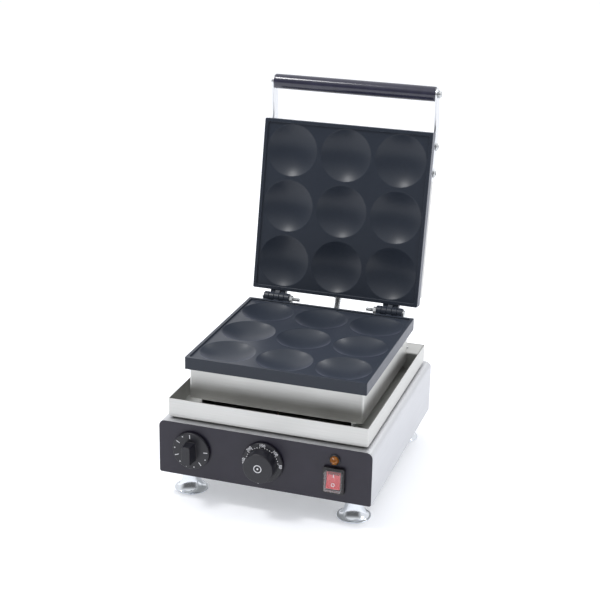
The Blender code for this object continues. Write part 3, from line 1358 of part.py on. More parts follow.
def make_thermostat(black, steel, base):
    """Thermostat knob, shaft, switch case, capillary and the bulb under the lower plate."""
    axis = empty("thermostat_axis", (THERMOSTAT_X, BODY_FRONT, CONTROL_Z), parent=base)
    profile = skirt_profile(THERMOSTAT_SKIRT_RADIUS) + [
        (THERMOSTAT_CAP_BASE_RADIUS, SKIRT_FRONT),
        (THERMOSTAT_CAP_RADIUS, KNOB_REACH - THERMOSTAT_CAP_ROUND),
        (THERMOSTAT_CAP_RADIUS - THERMOSTAT_CAP_ROUND, KNOB_REACH),
        (0, KNOB_REACH),
    ]
    knob = piece("thermostat_knob", turned(profile), black, axis, (0, 0, 0), FACING_FRONT)
    bore_knob(knob, "thermostat_knob_bore", axis)
    make_shaft("thermostat_shaft", steel, axis)
    front, top = PANEL_BACK + SEAT_GAP, CONTROL_Z + THERMOSTAT_CASE_HEIGHT / 2
    shape = box(
        (THERMOSTAT_X - THERMOSTAT_CASE_WIDTH / 2, front, CONTROL_Z - THERMOSTAT_CASE_HEIGHT / 2),
        (THERMOSTAT_X + THERMOSTAT_CASE_WIDTH / 2, front + THERMOSTAT_CASE_DEPTH, top),
    )
    case = piece("thermostat_case", shape, steel, base)
    cut(case, helper("thermostat_case_bore", shaft_bore(THERMOSTAT_X), base))
    level = PLATE_BOTTOM - SEAT_GAP - BULB_RADIUS
    bulb_front = PLATE_FRONT + BULB_CENTRE_INSET - BULB_LENGTH / 2
    route = [
        (THERMOSTAT_X, front + THERMOSTAT_CASE_DEPTH / 2, top + SEAT_GAP),
        (THERMOSTAT_X, front + THERMOSTAT_CASE_DEPTH / 2, top + CAPILLARY_BEND_RISE),
        (THERMOSTAT_X, CAPILLARY_Y, top + CAPILLARY_BEND_RISE),
        (THERMOSTAT_X, CAPILLARY_Y, level),
        (THERMOSTAT_X, bulb_front - SEAT_GAP, level),
    ]
    line = smooth_route(route, CAPILLARY_BEND, ELEMENT_BEND_STEPS)
    tube("thermostat_capillary", line, CAPILLARY_RADIUS, ELEMENT_RESOLUTION, steel, base)
    nose = BULB_RADIUS / 2
    bulb = [
        (0, 0),
        (nose, 0),
        (BULB_RADIUS, nose),
        (BULB_RADIUS, BULB_LENGTH - nose),
        (nose, BULB_LENGTH),
        (0, BULB_LENGTH),
    ]
    place = (THERMOSTAT_X, bulb_front, level)
    piece("thermostat_bulb", turned(bulb, SMALL_ROUND_STEPS), steel, base, place, FACING_BACK)


def make_lamp(amber, black, base):
    """The pilot lamp over the switch: a domed lens in front of the panel, its holder behind."""
    place = (SWITCH_X, BODY_FRONT, LAMP_Z)
    dome = []
    for i in range(LAMP_LENS_STEPS + 1):
        turn = math.radians(90 * i / LAMP_LENS_STEPS)
        rise = (LAMP_LENS_REACH - LAMP_LENS_EDGE) * math.sin(turn)
        dome.append((LAMP_LENS_RADIUS * math.cos(turn), LAMP_LENS_EDGE + rise))
    dome[-1] = (0, LAMP_LENS_REACH)
    profile = [
        (0, SEAT_GAP - PANEL_THICKNESS),
        (LAMP_STEM_RADIUS, SEAT_GAP - PANEL_THICKNESS),
        (LAMP_STEM_RADIUS, SEAT_GAP),
        (LAMP_LENS_RADIUS, SEAT_GAP),
    ]
    piece("pilot_lens", turned(profile + dome), amber, base, place, FACING_FRONT)
    front = -PANEL_THICKNESS - SEAT_GAP
    holder = [
        (0, front - LAMP_BODY_LENGTH),
        (LAMP_STEM_RADIUS, front - LAMP_BODY_LENGTH),
        (LAMP_STEM_RADIUS, front - LAMP_NUT_HEIGHT),
        (LAMP_NUT_RADIUS, front - LAMP_NUT_HEIGHT),
        (LAMP_NUT_RADIUS, front),
        (0, front),
    ]
    piece("pilot_lamp_holder", turned(holder, SMALL_ROUND_STEPS), black, base, place, FACING_FRONT)


def make_switch(black, red, clear, base):
    """The power switch: its body and frame, the rocker and the clear splash boot."""
    centre = (SWITCH_X, SWITCH_Z)
    outline = rounded_rectangle(
        SWITCH_FRAME_WIDTH, SWITCH_FRAME_HEIGHT, SWITCH_FRAME_CORNER, centre
    )
    frame_front = BODY_FRONT - SWITCH_FRAME_REACH
    shape = prism(outline, frame_front, BODY_FRONT - SEAT_GAP, ALONG_Y)
    body = piece("switch_body", shape, black, base)
    block = rounded_rectangle(SWITCH_BODY_WIDTH, SWITCH_BODY_HEIGHT, SEAT_GAP, centre, 1)
    stem_front = BODY_FRONT - SWITCH_FRAME_REACH / 2
    stem = prism(block, stem_front, BODY_FRONT + SWITCH_BODY_DEPTH, ALONG_Y)
    add(body, helper("switch_stem", stem, base))
    pocket = rounded_rectangle(SWITCH_POCKET_WIDTH, SWITCH_POCKET_HEIGHT, SEAT_GAP, centre, 1)
    depth = BODY_FRONT + SWITCH_POCKET_DEPTH
    tool = prism(pocket, frame_front - OVERRUN, depth, ALONG_Y)
    cut(body, helper("switch_pocket", tool, base))
    axis = empty(
        "rocker_axis",
        (SWITCH_X, BODY_FRONT + ROCKER_PIVOT_DEPTH, SWITCH_Z),
        (-ROCKER_TILT, 0, 0),
        base,
    )
    half = ROCKER_HALF_HEIGHT
    section = [
        (-ROCKER_TIP_REACH, half),
        (-ROCKER_VALLEY_REACH, 0),
        (-ROCKER_TIP_REACH, -half),
        (ROCKER_SHOULDER, -half),
        (ROCKER_KEEL, 0),
        (ROCKER_SHOULDER, half),
    ]
    rocker = prism(section, -ROCKER_WIDTH / 2, ROCKER_WIDTH / 2, ALONG_X)
    piece("switch_rocker", rocker, red, axis)
    make_boot(centre, frame_front - SEAT_GAP, clear, base)


def make_boot(centre, seat, look, base):
    """The thin clear boot over the rocker, with a lip on the frame."""
    lip = rounded_rectangle(
        BOOT_WIDTH + 2 * BOOT_LIP, BOOT_HEIGHT + 2 * BOOT_LIP, BOOT_CORNER, centre
    )
    boot = piece("switch_boot", prism(lip, seat - BOOT_LIP_HEIGHT, seat, ALONG_Y), look, base)
    front = BODY_FRONT - BOOT_REACH
    dome = rounded_rectangle(BOOT_WIDTH, BOOT_HEIGHT, BOOT_CORNER, centre)
    shape = prism(dome, front, seat - BOOT_LIP_HEIGHT / 2, ALONG_Y)
    add(boot, helper("boot_dome", shape, base))
    hollow = rounded_rectangle(
        BOOT_WIDTH - 2 * BOOT_WALL, BOOT_HEIGHT - 2 * BOOT_WALL, BOOT_CORNER - BOOT_WALL, centre
    )
    shape = prism(hollow, front + BOOT_WALL, seat + OVERRUN, ALONG_Y)
    cut(boot, helper("boot_hollow", shape, base))


def make_mains_parts(black, grey, base):
    """The cord gland in the rear panel and the terminal block behind it."""
    seat = SHEET + SEAT_GAP
    profile = [
        (GLAND_BORE_RADIUS, -GLAND_THREAD_LENGTH),
        (GLAND_THREAD_RADIUS, -GLAND_THREAD_LENGTH),
        (GLAND_THREAD_RADIUS, seat),
        (GLAND_RADIUS, seat),
        (GLAND_RADIUS, seat + GLAND_FLANGE),
        (GLAND_CAP_RADIUS, seat + GLAND_FLANGE),
        (GLAND_CAP_RADIUS - GLAND_CAP_DRAFT, seat + GLAND_FLANGE + GLAND_CAP_LENGTH),
        (GLAND_BORE_RADIUS, seat + GLAND_FLANGE + GLAND_CAP_LENGTH),
    ]
    place = (GLAND_X, BODY_BACK - 2 * SHEET, GLAND_Z)
    shape = turned(profile, SMALL_ROUND_STEPS, True)
    piece("cord_gland", shape, black, base, place, FACING_BACK)
    low = BODY_BOTTOM + 2 * (SHEET + SEAT_GAP)
    back = BODY_BACK - TERMINAL_SETBACK
    left, front = TERMINAL_X - TERMINAL_WIDTH / 2, back - TERMINAL_DEPTH
    top = low + TERMINAL_HEIGHT
    block = box((left, front, low), (left + TERMINAL_WIDTH, back, top))
    terminal = piece("terminal_block", block, grey, base)
    way = TERMINAL_WIDTH / TERMINAL_WAYS
    width = TERMINAL_POCKET_WIDTH_SHARE * way
    depth = TERMINAL_POCKET_DEPTH_SHARE * TERMINAL_DEPTH
    shapes = []
    for number in range(TERMINAL_WAYS):
        x, y = left + way * (number + 1 / 2), (front + back) / 2
        shapes.append(
            box(
                (x - width / 2, y - depth / 2, top - TERMINAL_POCKET_DEPTH),
                (x + width / 2, y + depth / 2, top + OVERRUN),
            )
        )
    cut(terminal, helper("terminal_pockets", gather(shapes), base))


def main():
    clear_scene()
    stainless = finish("stainless sheet", 205, 206, 204, 0.28, 1.0)
    panel_paint = finish("charcoal panel enamel", 64, 61, 70, 0.45, 0.2)
    cast = finish("cast aluminium with non-stick coating", 52, 57, 64, 0.5, 0.1)
    chrome = finish("chromed foot", 225, 227, 230, 0.08, 1.0)
    zinc = finish("zinc-plated steel", 170, 172, 172, 0.35, 1.0)
    black = finish("black phenolic", 40, 40, 45, 0.4)
    grip_black = finish("black handle bakelite", 35, 34, 42, 0.3)
    rubber = finish("black silicone gasket", 25, 25, 26, 0.7)
    amber = finish("amber lens", 190, 115, 30, 0.15)
    red = finish("red rocker", 220, 70, 75, 0.3)
    clear = finish("clear boot", 235, 235, 238, 0.15, 0.0, 0.3)
    wool = finish("ceramic wool board", 225, 222, 210, 0.95)
    sheath = finish("element sheath", 92, 88, 82, 0.45, 1.0)
    grey = finish("ivory terminal plastic", 214, 210, 196, 0.5)

    base = empty("base", (0, BODY_SHIFT, 0))
    lid = empty("lid", (0, HINGE_Y, HINGE_Z), (-OPEN_ANGLE, 0, 0), base)
    make_casing(stainless, base)
    make_control_panel(panel_paint, base)
    make_rear_panel(stainless, base)
    make_base_plate(stainless, base)
    make_feet(chrome, base)
    make_gasket(rubber, base)
    make_tray(stainless, base)
    make_duct(stainless, base)
    make_duct_screws(zinc, base)
    make_rails(zinc, base)
    make_heater_box(stainless, base)
    hinge = (0, HINGE_Y, HINGE_Z)
    make_plate("lower_plate", PLATE_MIDDLE, PLATE_BACK, PLATE_BOTTOM, 1, cast, base, hinge)
    make_lower_heater(zinc, sheath, wool, base)
    make_hinge_pins(zinc, base)
    boss_end = make_plate(
        "upper_plate", LID_PLATE_MIDDLE, LID_PLATE_BACK, LID_PLATE_BOTTOM, -1, cast, lid, (0, 0, 0)
    )
    make_cover(stainless, lid)
    make_upper_heater(zinc, sheath, wool, lid, boss_end)
    make_handle(zinc, grip_black, lid)
    make_conduit(zinc, base)
    make_ferrules(zinc, base, lid)
    make_timer(black, zinc, base)
    make_thermostat(black, zinc, base)
    make_lamp(amber, black, base)
    make_switch(black, red, clear, base)
    make_mains_parts(black, grey, base)
    weight_normals()


main()
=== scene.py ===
# %% [markdown]
# # A countertop pancake maker, standing open
#
# The real machine is folded from stainless sheet, with two cast plates that meet like a
# waffle iron. The solid model already gives every part its place and its joints. This
# notebook dresses it: each part that shows is modelled again with finer edges, and each
# one gets the finish of the real material. Loading the solid model comes first, because
# everything else is placed by its measurements.

# %% Load the solid model
from math import acos, asin, atan2, cos, degrees, pi, radians, sin, tan, tau

import bpy
from mathutils import Matrix, Vector


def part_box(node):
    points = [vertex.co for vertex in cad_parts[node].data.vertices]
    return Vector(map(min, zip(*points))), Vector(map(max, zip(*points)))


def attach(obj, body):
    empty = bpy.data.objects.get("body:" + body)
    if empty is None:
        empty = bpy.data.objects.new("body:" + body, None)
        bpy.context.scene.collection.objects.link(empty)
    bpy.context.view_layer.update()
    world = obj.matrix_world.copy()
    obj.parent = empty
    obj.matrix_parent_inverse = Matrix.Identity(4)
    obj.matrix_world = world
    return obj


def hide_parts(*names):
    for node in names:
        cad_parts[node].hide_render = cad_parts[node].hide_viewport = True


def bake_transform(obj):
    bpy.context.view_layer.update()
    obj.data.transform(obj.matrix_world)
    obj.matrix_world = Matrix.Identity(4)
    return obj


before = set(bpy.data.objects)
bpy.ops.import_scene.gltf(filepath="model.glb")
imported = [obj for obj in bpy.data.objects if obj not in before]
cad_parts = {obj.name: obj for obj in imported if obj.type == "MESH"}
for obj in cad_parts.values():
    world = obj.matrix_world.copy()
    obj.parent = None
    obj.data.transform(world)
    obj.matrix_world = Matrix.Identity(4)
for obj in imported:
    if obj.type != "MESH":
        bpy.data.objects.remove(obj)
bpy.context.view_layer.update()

# %% [markdown]
# ## The camera
#
# The photograph was taken from a little right of the front, 20 degrees above the
# table. A long lens keeps the upright edges nearly parallel. The view could be found by
# hand, but here it was worked out from the corners of the body and the plates, so that
# the render and the photograph can be laid over each other.

# %% Camera
AZIMUTH, ELEVATION, ROLL = (radians(d) for d in (17.82, 20.09, 1.16))
TARGET = Vector((-0.00629, -0.030413, 0.25721))
DISTANCE = 2.01387

back = Vector((
    sin(AZIMUTH) * cos(ELEVATION),
    -cos(AZIMUTH) * cos(ELEVATION),
    sin(ELEVATION),
))
level = Vector((cos(AZIMUTH), sin(AZIMUTH), 0))
rise = back.cross(level)
right = level * cos(ROLL) + rise * sin(ROLL)
up = rise * cos(ROLL) - level * sin(ROLL)

LENS_MM = 83.79
lens = bpy.data.cameras.new("camera")
lens.sensor_width, lens.lens = 36, LENS_MM
camera = bpy.data.objects.new("camera", lens)
bpy.context.scene.collection.objects.link(camera)
stand = TARGET + back * DISTANCE
camera.matrix_world = Matrix(
    [(right[i], up[i], back[i], stand[i]) for i in range(3)] + [(0, 0, 0, 1)]
)
bpy.context.scene.camera = camera
print("camera stands at", [round(v, 3) for v in camera.matrix_world.translation])

# %% [markdown]
# ## Tools for the bench
#
# A part on the bench starts as a simple block or as a drawn line, and a few moves repeat
# all the time. The first ones put a part in its place, start one from a block and copy
# one, because what repeats is modelled once. A finished part keeps its object at the
# origin with its place worked into its mesh, so patterns lie on it the same way wherever
# a joint takes it.

# %% Placing
bpy.context.scene.cursor.location = (0, 0, 0)


def only(piece=None):
    """Leaves one object selected and active, or none."""
    bpy.ops.object.select_all(action="DESELECT")
    if piece:
        piece.select_set(True)
        bpy.context.view_layer.objects.active = piece


def seat(piece, place=(0, 0, 0), turn=(0, 0, 0)):
    """Turns and moves a piece, and works both into its mesh, so its object stays at the origin."""
    only(piece)
    piece.location, piece.rotation_euler = place, turn
    bpy.ops.object.transform_apply(location=True, rotation=True, scale=True)
    return piece


def block(name, low, high):
    """A cube primitive stretched between two opposite corners, ready to be shaped."""
    only()
    bpy.ops.mesh.primitive_cube_add(size=1)
    piece = bpy.context.object
    piece.name = name
    piece.scale = [b - a for a, b in zip(low, high)]
    return seat(piece, [(a + b) / 2 for a, b in zip(low, high)])


def copied(model, name="copy"):
    """A copy of a piece, with a mesh of its own."""
    only(model)
    bpy.ops.object.duplicate(linked=False)
    bpy.context.object.name = name
    return bpy.context.object


def discard(piece):
    bpy.data.objects.remove(piece, do_unlink=True)


def centre_of(node):
    """The middle of a solid's box."""
    low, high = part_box(node)
    return (low + high) / 2


print("placing is ready")

# %% [markdown]
# Shaping happens in edit mode, where an operator works on all that is selected. Picking
# by hand is replaced by a test: a face is known by its middle and the way it looks, an
# edge by its middle and the way it runs. Sheet metal needs two moves above all, rounding
# some edges and taking some faces away, so each has a function.

# %% Picking edges and faces
def pick(piece, kind, test):
    """Opens edit mode with the edges or faces selected that pass a test of middle and direction."""
    only(piece)
    bpy.ops.object.mode_set(mode="EDIT")
    bpy.ops.mesh.select_mode(type=kind)
    bpy.ops.mesh.select_all(action="DESELECT")
    bpy.ops.object.mode_set(mode="OBJECT")
    mesh = piece.data
    if kind == "FACE":
        for face in mesh.polygons:
            face.select = bool(test(face.center, face.normal))
    else:
        for edge in mesh.edges:
            a, b = (mesh.vertices[i].co for i in edge.vertices)
            edge.select = bool(test((a + b) / 2, (b - a).normalized()))
    bpy.ops.object.mode_set(mode="EDIT")


def leave():
    bpy.ops.object.mode_set(mode="OBJECT")


def near(a, b, reach=0.00005):
    return abs(a - b) < reach


def runs(axis, **places):
    """A test for the edges along one axis, and at certain places where they are given."""
    return lambda middle, way: abs(getattr(way, axis)) > 0.9 and all(
        near(getattr(middle, name), place) for name, place in places.items()
    )


def lies(axis, place):
    """A test for the edges round the end of a block, square to one axis."""
    return lambda middle, way: near(getattr(middle, axis), place) and abs(getattr(way, axis)) < 0.1


def rounded(piece, width, segments, test):
    """Rounds the edges that pass a test."""
    pick(piece, "EDGE", test)
    bpy.ops.mesh.bevel(offset=width, segments=segments)
    leave()


def opened(piece, test):
    """Takes away the faces that pass a test."""
    pick(piece, "FACE", test)
    bpy.ops.mesh.delete(type="FACE")
    leave()


print("picking is ready")

# %% [markdown]
# Modifiers do the rest: they give a sheet its thickness, cut one part with another and
# break sharp edges. Real edges are never perfectly sharp, and it is the thin light line
# along each edge that makes a render look solid, so almost every part is softened last.
# Holes are drilled with a peg that is cut away from the part.

# %% Cutting and softening
def apply(piece, kind, **settings):
    """Adds a modifier with its settings and applies it."""
    only(piece)
    made = piece.modifiers.new(kind.lower(), kind)
    for name, value in settings.items():
        setattr(made, name, value)
    bpy.ops.object.modifier_apply(modifier=made.name)


def combine(piece, tool, operation="DIFFERENCE"):
    """Cuts or joins one closed piece with another, which is used up."""
    apply(piece, "BOOLEAN", object=tool, operation=operation, solver="EXACT")
    discard(tool)


def peg(radius, depth, place=(0, 0, 0), turn=(0, 0, 0), sides=32):
    """A round or many-sided peg, to cut with or to start from."""
    only()
    bpy.ops.mesh.primitive_cylinder_add(
        vertices=sides, radius=radius, depth=depth, location=place, rotation=turn
    )
    return bpy.context.object


def drill(piece, *sizes):
    """Cuts a round hole with a peg."""
    combine(piece, peg(*sizes))


def joined(pieces):
    """Makes one piece of several."""
    only(pieces[0])
    for other in pieces[1:]:
        other.select_set(True)
    bpy.ops.object.join()
    return bpy.context.object


def smooth(piece, angle=35):
    """Shades a piece smooth, except across corners sharper than the angle."""
    only(piece)
    bpy.ops.object.shade_smooth_by_angle(angle=radians(angle))


def soften(piece, width=0.0004, segments=2, angle=40):
    """Breaks the sharp edges and shades the rest smooth, with flat faces kept flat."""
    apply(
        piece, "BEVEL", width=width, segments=segments, limit_method="ANGLE",
        angle_limit=radians(angle), use_clamp_overlap=False,
    )
    smooth(piece, angle)
    apply(piece, "WEIGHTED_NORMAL", keep_sharp=True)


FACING_FRONT = (pi / 2, 0, 0)
FACING_BACK = (-pi / 2, 0, 0)
FACING_RIGHT = (0, pi / 2, 0)
FACING_LEFT = (0, -pi / 2, 0)
SIDES = ("left", -1, FACING_LEFT), ("right", 1, FACING_RIGHT)
print("cutting and softening are ready")

# %% [markdown]
# ## Finishes
#
# Each finish starts from what the real part is made of. Colours are picked as hex codes,
# as a paint program shows them, and one function turns them into the linear values that
# a shader works with. Another one adds a node with its settings and links, so a finish
# reads as a short list from the coordinates to the shader.

# %% Colours and nodes
def linear(code):
    """An sRGB hex colour as the linear values of a shader."""
    channels = [int(code[i:i + 2], 16) / 255 for i in (1, 3, 5)]
    return [c / 12.92 if c <= 0.04045 else ((c + 0.055) / 1.055) ** 2.4 for c in channels] + [1]


def add(material, kind, settings=None, values=None, links=None):
    """Adds one node to a material, with its settings, its values and what feeds it."""
    made = material.node_tree.nodes.new(kind)
    for name, value in (settings or {}).items():
        setattr(made, name, value)
    for name, value in (values or {}).items():
        made.inputs[name].default_value = value
    for name, source in (links or {}).items():
        material.node_tree.links.new(source, made.inputs[name])
    return made


print("colours and nodes are ready")

# %% [markdown]
# No real surface is one flat colour. Metal, plastic and enamel differ a little from
# place to place in colour, in gloss and in height, each at a scale of its own. So every
# finish lays cloudy patterns over the part: one mixes two near colours, one moves the
# roughness between two values, and, where a relief is given, a third lifts the surface.
# The size of a pattern is given in millimetres, along X, Y and Z where the surface has a direction.

# %% One recipe for all finishes
def finish(name, colours, colour_mm, roughness, roughness_mm, relief=None, **plain):
    """A material of two colours and two roughnesses; relief is its strength, depth and size."""
    made = bpy.data.materials.new(name)
    made.use_nodes = True
    made.diffuse_color = linear(colours[0])
    shader = made.node_tree.nodes["Principled BSDF"]
    for socket, value in plain.items():
        shader.inputs[socket.replace("_", " ")].default_value = value
    strength, depth_mm, relief_mm = relief or (0, 0, None)
    place = add(made, "ShaderNodeTexCoord")
    clouds = []
    for size in filter(None, (colour_mm, roughness_mm, relief_mm)):
        sizes = size if isinstance(size, tuple) else (size, size, size)
        laid = add(
            made, "ShaderNodeMapping", values={"Scale": [1000 / mm for mm in sizes]},
            links={"Vector": place.outputs["Object"]},
        )
        cloud = add(
            made, "ShaderNodeTexNoise", values={"Scale": 1, "Detail": 3, "Roughness": 0.6},
            links={"Vector": laid.outputs["Vector"]},
        )
        clouds.append(cloud.outputs["Fac"])
    share = add(
        made, "ShaderNodeMapRange", values={"From Min": 0.3, "From Max": 0.7},
        links={"Value": clouds[0]},
    )
    colour = add(
        made, "ShaderNodeMix", {"data_type": "RGBA"},
        {6: linear(colours[0]), 7: linear(colours[1])}, {0: share.outputs["Result"]},
    )
    gloss = add(
        made, "ShaderNodeMapRange",
        values={"From Min": 0.25, "From Max": 0.75, "To Min": roughness[0], "To Max": roughness[1]},
        links={"Value": clouds[1]},
    )
    made.node_tree.links.new(colour.outputs[2], shader.inputs["Base Color"])
    made.node_tree.links.new(gloss.outputs["Result"], shader.inputs["Roughness"])
    if relief:
        bump = add(
            made, "ShaderNodeBump", values={"Strength": strength, "Distance": depth_mm / 1000},
            links={"Height": clouds[2]},
        )
        made.node_tree.links.new(bump.outputs["Normal"], shader.inputs["Normal"])
    return made


print("the recipe is ready")

# %% [markdown]
# The body is 304 stainless sheet with a brushed finish. The abrasive belt leaves fine
# parallel lines, which spread each reflection across them. Real lines are about 0.1 mm
# apart, too fine to show from 2 m, so the ones drawn here are about 1 mm apart with a
# finer set between. Sheet is brushed along its long side, so there is one finish for
# lines along X and one for lines along Y. The arms are bar, ground along its length.

# %% Brushed stainless
LINES_MM, HAIRS_MM = (110, 1.1), (25, 0.24)


def brushed(name, along, colours, roughness):
    """Stainless steel with its lines along one axis."""
    lines, hairs = (
        tuple(length if axis == along else apart for axis in "XYZ")
        for length, apart in (LINES_MM, HAIRS_MM)
    )
    spread = (roughness - 0.03, roughness + 0.05)
    return finish(name, colours, lines, spread, 90, (0.1, 0.1, hairs), Metallic=1.0)


steel_across = brushed("stainless 304 brushed across", "X", ("#C7C7C4", "#CFCFCD"), 0.42)
steel_deep = brushed("stainless 304 brushed front to back", "Y", ("#C9CACD", "#D0D1D4"), 0.5)
steel_bar = brushed("stainless 304 bar, ground along", "Z", ("#E2E4E7", "#EBECEE"), 0.35)
print("brushed stainless: lines", LINES_MM[1], "mm apart, hairs", HAIRS_MM[1], "mm")

# %% [markdown]
# The control panel is steel with a charcoal enamel, sprayed and baked. Spray leaves a
# faint orange peel, a ripple about 1.5 mm wide. The cooking plates are cast aluminium
# with a sprayed and cured non-stick coating: slate in colour, with a fine pebbled skin
# and pale specks. Real specks are 0.1 mm, too fine to show, so they are drawn at 0.4 mm.
# Seen along the surface, as on the sides of the plates, the slate turns lighter, which
# the sheen gives, and its thin clear top layer draws small glints inside the hollows.

# %% Enamel and coating
enamel = finish(
    "charcoal baked enamel", ("#191625", "#1F1B2B"), 40, (0.36, 0.47), 17, (0.1, 0.2, 1.5),
)
coating = finish(
    "non-stick coating on cast aluminium", ("#232933", "#343A45"), 0.42, (0.34, 0.42), 29,
    (0.12, 0.2, 0.8), Specular_IOR_Level=0.28, Coat_Weight=0.12, Coat_Roughness=0.24,
    Sheen_Weight=0.35, Sheen_Roughness=0.3, Sheen_Tint=linear("#C9CCE4"),
)
print("enamel and coating are mixed")

# %% [markdown]
# Small parts have their own metals. The feet are turned steel with bright chrome, which
# is nearly a mirror with a few soft smudges. Screws, rails and the conduit are zinc
# plated, which is duller and slightly patchy where crystals of zinc catch the light. On
# the hose the zinc is duller still, because it bends with every use and sits in steam.

# %% Chrome and zinc
chrome = finish("chrome plating", ("#D9DDE2", "#E1E5EA"), 30, (0.08, 0.14), 22, Metallic=1.0)
zinc = finish("zinc plating", ("#B4B6B8", "#D2D4D4"), 2.4, (0.26, 0.42), 6.7, Metallic=1.0)
hose_zinc = finish(
    "dulled zinc on steel hose", ("#A6A8AA", "#CBCDCF"), 3, (0.45, 0.6), 5, Metallic=1.0,
)
print("chrome and zinc are mixed")

# %% [markdown]
# The knobs are phenolic, a hard black plastic that is moulded hot and keeps the fine
# matt grain of its mould. The grip is the same family, polished under a thin wax.
# The switch frame and the cord gland are black nylon with a fine spark-eroded grain, and
# the tray sits on grey silicone rubber.

# %% Black plastics and rubber
phenolic = finish(
    "moulded black phenolic", ("#15151C", "#1C1C24"), 8, (0.3, 0.44), 5, (0.08, 0.1, 0.6),
)
bakelite = finish(
    "polished bakelite", ("#2B2B3B", "#343446"), 17, (0.14, 0.18), 60,
    Coat_Weight=0.35, Coat_Roughness=0.12,
)
nylon = finish("black nylon", ("#17171A", "#1E1E21"), 5, (0.36, 0.45), 5, (0.1, 0.1, 0.67))
rubber = finish("grey silicone rubber", ("#8B8A84", "#9C9B95"), 5, (0.6, 0.78), 3.3)
print("black plastics are mixed")

# %% [markdown]
# The lamp lens is tinted acrylic, moulded thick enough to look deep. The rocker is red
# polycarbonate under a clear silicone boot, which is soft, slightly milky and smeared by
# hands. The marks on the dials are pad printed: ink pressed on by a rubber stamp, thin
# at the edges.

# %% Coloured and clear plastics
amber = finish(
    "amber acrylic", ("#7E4308", "#B5701C"), 6, (0.14, 0.19), 6, IOR=1.49, Transmission_Weight=0.3,
)
red_plastic = finish("red polycarbonate", ("#C8141F", "#DC2A35"), 11, (0.26, 0.34), 8)
clear_rubber = finish(
    "clear silicone", ("#EDE6E8", "#F4EEF0"), 6, (0.12, 0.26), 4, IOR=1.41, Alpha=0.1,
)
print_white = finish("white pad print", ("#D9D9DE", "#F0F0F3"), 1.1, (0.45, 0.55), 2)
print("coloured plastics are mixed")

# %% [markdown]
# Inside are parts that only show when the machine is opened up: a fibrous board of
# ceramic wool, the dark oxidised sheath of the heating elements, the thin copper tube of
# the thermostat, and an ivory terminal block. They get finishes of their own too, so
# that a cutaway still looks right.

# %% Inner finishes
wool = finish(
    "ceramic wool board", ("#C9C4B4", "#E4E1D6"), 1.4, (0.9, 0.97), 10, (0.5, 0.6, (2, 2, 0.7)),
)
sheath = finish(
    "oxidised element sheath", ("#4D463F", "#706A64"), 12, (0.42, 0.58), 9, Metallic=0.9,
)
copper = finish("tarnished copper tube", ("#3C2D25", "#57402F"), 11, (0.45, 0.6), 9, Metallic=0.9)
ivory = finish("ivory terminal plastic", ("#CFCBBB", "#DDD9CC"), 7, (0.42, 0.52), 7)
print("materials so far:", len(bpy.data.materials))

# %% [markdown]
# ## Handing a part over
#
# A finished part is given its finish, the body that carries it when a joint moves, and
# the names of the solids that it stands for. Solids whose own shape is good enough keep
# it and are only dressed.

# %% Handing over
def fit(piece, body, material, slot=None, *solids):
    """Gives a piece its finish, its body and the solids that it stands for."""
    if not piece.data.materials:
        piece.data.materials.append(material)
    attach(piece, body)
    if solids:
        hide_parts(*solids)


def dress(material, *nodes):
    """Puts a finish on solids that keep their own shape."""
    for name in nodes:
        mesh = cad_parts[name].data
        mesh.materials.clear()
        mesh.materials.append(material)


dress(rubber, "tray_gasket")
dress(steel_across, "base_plate")
dress(zinc, "box_rail_left", "box_rail_right", "timer_shaft", "thermostat_shaft", "timer_clockwork")
dress(copper, "thermostat_capillary", "thermostat_bulb")
dress(zinc, "thermostat_case", "lower_clamp_plate")
dress(zinc, "upper_clamp_plate", "lower_clamp_bolt", "upper_clamp_bolt")
dress(sheath, "lower_element", "upper_element")
dress(wool, "lower_insulation", "upper_insulation")
dress(ivory, "terminal_block")
dress(nylon, "pilot_lamp_holder")
print("dressed solids are done")

# %% [markdown]
# ## The body
#
# One sheet of steel is folded over the top and down both sides, with a flange turned in
# under each side. It starts as a block of the outer size. The two long top edges are
# bevelled to the bending radius, the open ends and the underside are deleted, and the
# wall then gets its thickness inwards, which is how sheet metal behaves: one thickness
# everywhere. The window for the wires is cut last.

# %% Body casing
SHEET, BEND, FLANGE = 0.0012, 0.009, 0.012


def thicken(piece, thickness=SHEET):
    """Gives a folded surface the thickness of its sheet, inwards."""
    apply(piece, "SOLIDIFY", thickness=thickness, offset=-1, use_even_offset=True)


low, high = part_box("body_casing")
casing = block("folded_casing", low, high)
rounded(casing, BEND, 8, runs("y", z=high.z))
opened(casing, lambda middle, normal: abs(normal.y) > 0.9 or normal.z < -0.9)
for side in (-1, 1):
    pick(casing, "EDGE", lambda middle, way: near(middle.z, low.z) and middle.x * side > 0)
    bpy.ops.mesh.extrude_region_move(TRANSFORM_OT_translate={"value": (-side * FLANGE, 0, 0)})
    leave()
thicken(casing)

WINDOW_Y = centre_of("duct_cover").y + SHEET / 2
WINDOW_HALF_X, WINDOW_HALF_Y = 0.025, 0.008


def wire_window(piece, bottom, top):
    """Cuts the oblong opening for the wires, under the duct."""
    combine(piece, block(
        "window", (-WINDOW_HALF_X, WINDOW_Y - WINDOW_HALF_Y, bottom),
        (WINDOW_HALF_X, WINDOW_Y + WINDOW_HALF_Y, top),
    ))


wire_window(casing, high.z - 0.004, high.z + 0.002)
soften(casing, 0.0003)
fit(casing, "base", steel_deep, "stainless", "body_casing")
print("casing", [round(v * 1000, 1) for v in high - low], "mm")

# %% [markdown]
# The control panel is a flat plate in front of the folded sheet, with the same two round
# corners at the top and tighter ones below. Its corners are rounded first, then the
# holes for the shafts, the lamp and the switch are cut through, and last its front edge
# is broken, because enamel pulls back from a sharp edge. The narrow sides of the plate
# stay bare, which gives the thin bright line round the panel.

